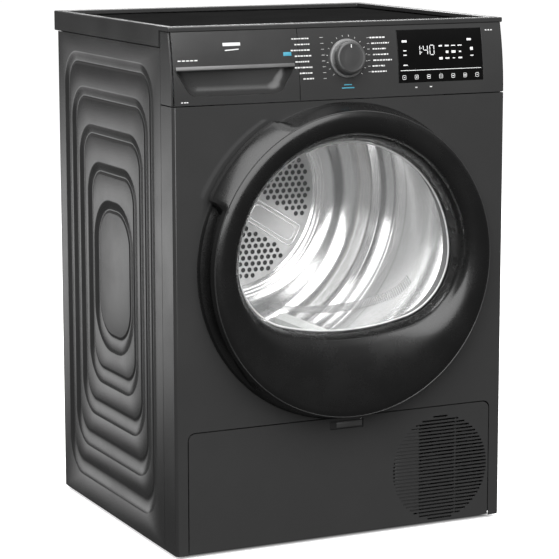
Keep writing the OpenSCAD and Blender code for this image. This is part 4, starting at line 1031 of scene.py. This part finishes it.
def makeDisplay():
    d = display
    lens, figureZ = d["lens"], d["figureZ"]
    lit = []
    for segments, x in d["figures"]:
        lit += segmentDigit(x, figureZ, 7.5, 15, segments, lens)
    for dz in (-3.2, 3.2):
        lit.append(markBar("colon", d["colonX"], figureZ + dz, 1.5, 1.5, lens, material=displayGlow))
    rng = random.Random(3)
    for x in (178, 190, 202, 214):  # small status marks
        for z in (803, 793, 783):
            if rng.random() < 0.7:
                lit.append(markBar("status", x, z, rng.uniform(4, 8), rng.choice((1.6, 2.4, 4)), lens,
                                   material=displayGlow))
    for x, z, w, h in ((112, 812, 9, 3.4), (232, 812, 8, 3.4), (112, 797, 6, 1.6), (112, 790, 6, 1.6),
                       (236, 797, 5, 5), (236, 786, 6, 1.6), (112, 774, 8, 1.6)):
        lit.append(markBar("status", x, z, w, h, lens, material=displayGlow))
    lit.append(markBar("displayLine", 177.5, 765.5, 150, 0.9, lens, material=displayGlow))
    for k in range(d["keys"]):  # touch keys: a square frame round a small mark
        x = d["keyX"] + k * d["keyPitch"]
        for dx, dz, w, h in ((0, 3.1, 5.4, 0.7), (0, -3.1, 5.4, 0.7), (-2.9, 0, 0.7, 5.4), (2.9, 0, 0.7, 5.4)):
            lit.append(markBar("key", x + dx, d["keyZ"] + dz, w, h, lens, material=displayGlow))
        lit.append(markBar("key", x, d["keyZ"], 1.6 + (k % 3), 1.6, lens, material=displayGlow))
    joinPieces(lit, "displayMarks")
    small = [markBar("underKey", x, 738, 4.2, 1.6) for x in d["underKeys"]]
    small += [markBar("cornerMark", x, 826, 3, 1.8) for x in (266, 271, 276)]
    joinPieces(small, "underDisplayMarks")
    print("display marks made")


makeMarks()
makeDisplay()


# ---- bar of the service panel latch ----

latchBar = {"x": 11.5, "z": 192, "width": 47, "height": 8.6, "y": 0.75, "thick": 0.9, "edge": 0.4}


def makeLatchBar():
    b = latchBar
    bar = block("latchBar", point(b["x"], b["y"], b["z"]), (b["width"], b["thick"], b["height"]))
    addModifier(bar, "BEVEL", width=b["edge"] * mm, segments=2)
    finishPiece(bar, moulded("latchGrey", grey(0.055), 0.4), "kick_latch", (), 40)
    print("latch bar made")


makeLatchBar()


# ---- studio ----

studio = {"windowHalf": 0.12, "windowSoft": 0.08, "windowPower": 1.6, "floorSize": 600, "floorGrey": 0.9,
          "shadeX": (0.27, 0.3), "shadeY": (0.23, 0.26), "floorGlow": 0.8,
          "cameraPlace": (-1.6849, -3.5389, 1.0757), "cameraTurn": (math.pi / 2 - 0.169, 0, -0.455), "lens": 149.3,
          "shift": (-0.0363, -0.0151), "drumLampPlace": (72, 735), "drumLampAim": (30, 330, 420)}


def makeStudio():
    scene.view_settings.view_transform = "Standard"
    bpy.ops.object.select_all(action="DESELECT")
    bpy.ops.mesh.primitive_plane_add(size=studio["floorSize"], location=(0, 0, 0))
    floor = bpy.context.object
    floor.name = "studioFloor"
    material, kit = newFinish("paleFloor")
    # painted shadow: under the cabinet the floor is nearly black and gives no glow
    outsideShadowX, outsideShadowY = (kit.spread(kit.maths("ABSOLUTE", kit.axis(kit.coords(), axis)), *studio["shade" + axis])
                        for axis in "XY")
    outsidePaintedShadow = kit.maths("MAXIMUM", outsideShadowX, outsideShadowY)  # dark only under the cabinet
    output(kit, **{"Base Color": kit.mixColour(outsidePaintedShadow, grey(0.02), grey(studio["floorGrey"])),
                   "Roughness": 0.9 + kit.noise(3) * 0.05,
                   "Emission Color": kit.mixColour(outsidePaintedShadow, grey(0), grey(1.0)),
                   "Emission Strength": studio["floorGlow"]})
    dress(floor, material)
    floor.visible_glossy = False
    floor.visible_diffuse = False

    world = bpy.data.worlds.new("studioWorld")
    scene.world = world
    world.use_nodes = True
    kit = NodeKit(world.node_tree)
    direction = kit.node("TexCoord", out="Generated")
    across, along, up = (kit.axis(direction, name) for name in "XYZ")
    height = up + along * 0.2
    # one tall soft window behind and to the left, seen in the pressed panel
    band = kit.spread(height, -0.08, 0.03) * (1 - kit.spread(height, 0.03, 0.12))
    sideways = kit.maths("ABSOLUTE", across * 0.89 + along * 0.45)
    edge = studio["windowHalf"]
    window = (1 - kit.spread(sideways, edge, edge + studio["windowSoft"])) * kit.spread(along, 0.1, 0.3)
    upper = kit.spread(height, 0.0, 0.4, 0.1, 0.3)
    backdrop = kit.node("Background", None, {"Color": grey(1.0),
                                             "Strength": upper + band * window * studio["windowPower"]})
    kit.node("OutputWorld", None, {"Surface": backdrop})

    lampY, lampZ = studio["drumLampPlace"]
    drumAim = point(*studio["drumLampAim"])
    lamps = [
        ("keyLamp", Vector((-0.9, -3.3, 2.9)), Vector((0, 0, 0.4)), 5.0, 350),
        ("topLamp", Vector((0.4, 0.2, 3.4)), Vector((0, 0, 0.6)), 3.0, 50),
        ("rearLamp", Vector((1.8, 3.0, 2.4)), Vector((0, 0, 0.5)), 2.2, 60),
        ("drumLamp", point(-40, lampY, lampZ), drumAim, 0.14, 0.6),
        ("drumFill", point(0, lampY, lampZ), drumAim, 0.14, 2.2),
    ]
    for name, place, aim, size, power in lamps:
        bpy.ops.object.light_add(type="AREA", location=place)
        lamp = bpy.context.object
        lamp.name = name
        lamp.data.size = size
        lamp.data.energy = power
        lamp.rotation_euler = (aim - place).to_track_quat("-Z", "Y").to_euler()
        lamp.visible_glossy = name != "drumFill"  # the fill leaves no highlight of its own

    bpy.ops.object.camera_add(location=studio["cameraPlace"], rotation=studio["cameraTurn"])
    camera = bpy.context.object
    camera.name = "studioCamera"
    camera.data.sensor_width = 36
    camera.data.lens = studio["lens"]
    camera.data.shift_x, camera.data.shift_y = studio["shift"]
    scene.camera = camera


makeStudio()
print("studio set")
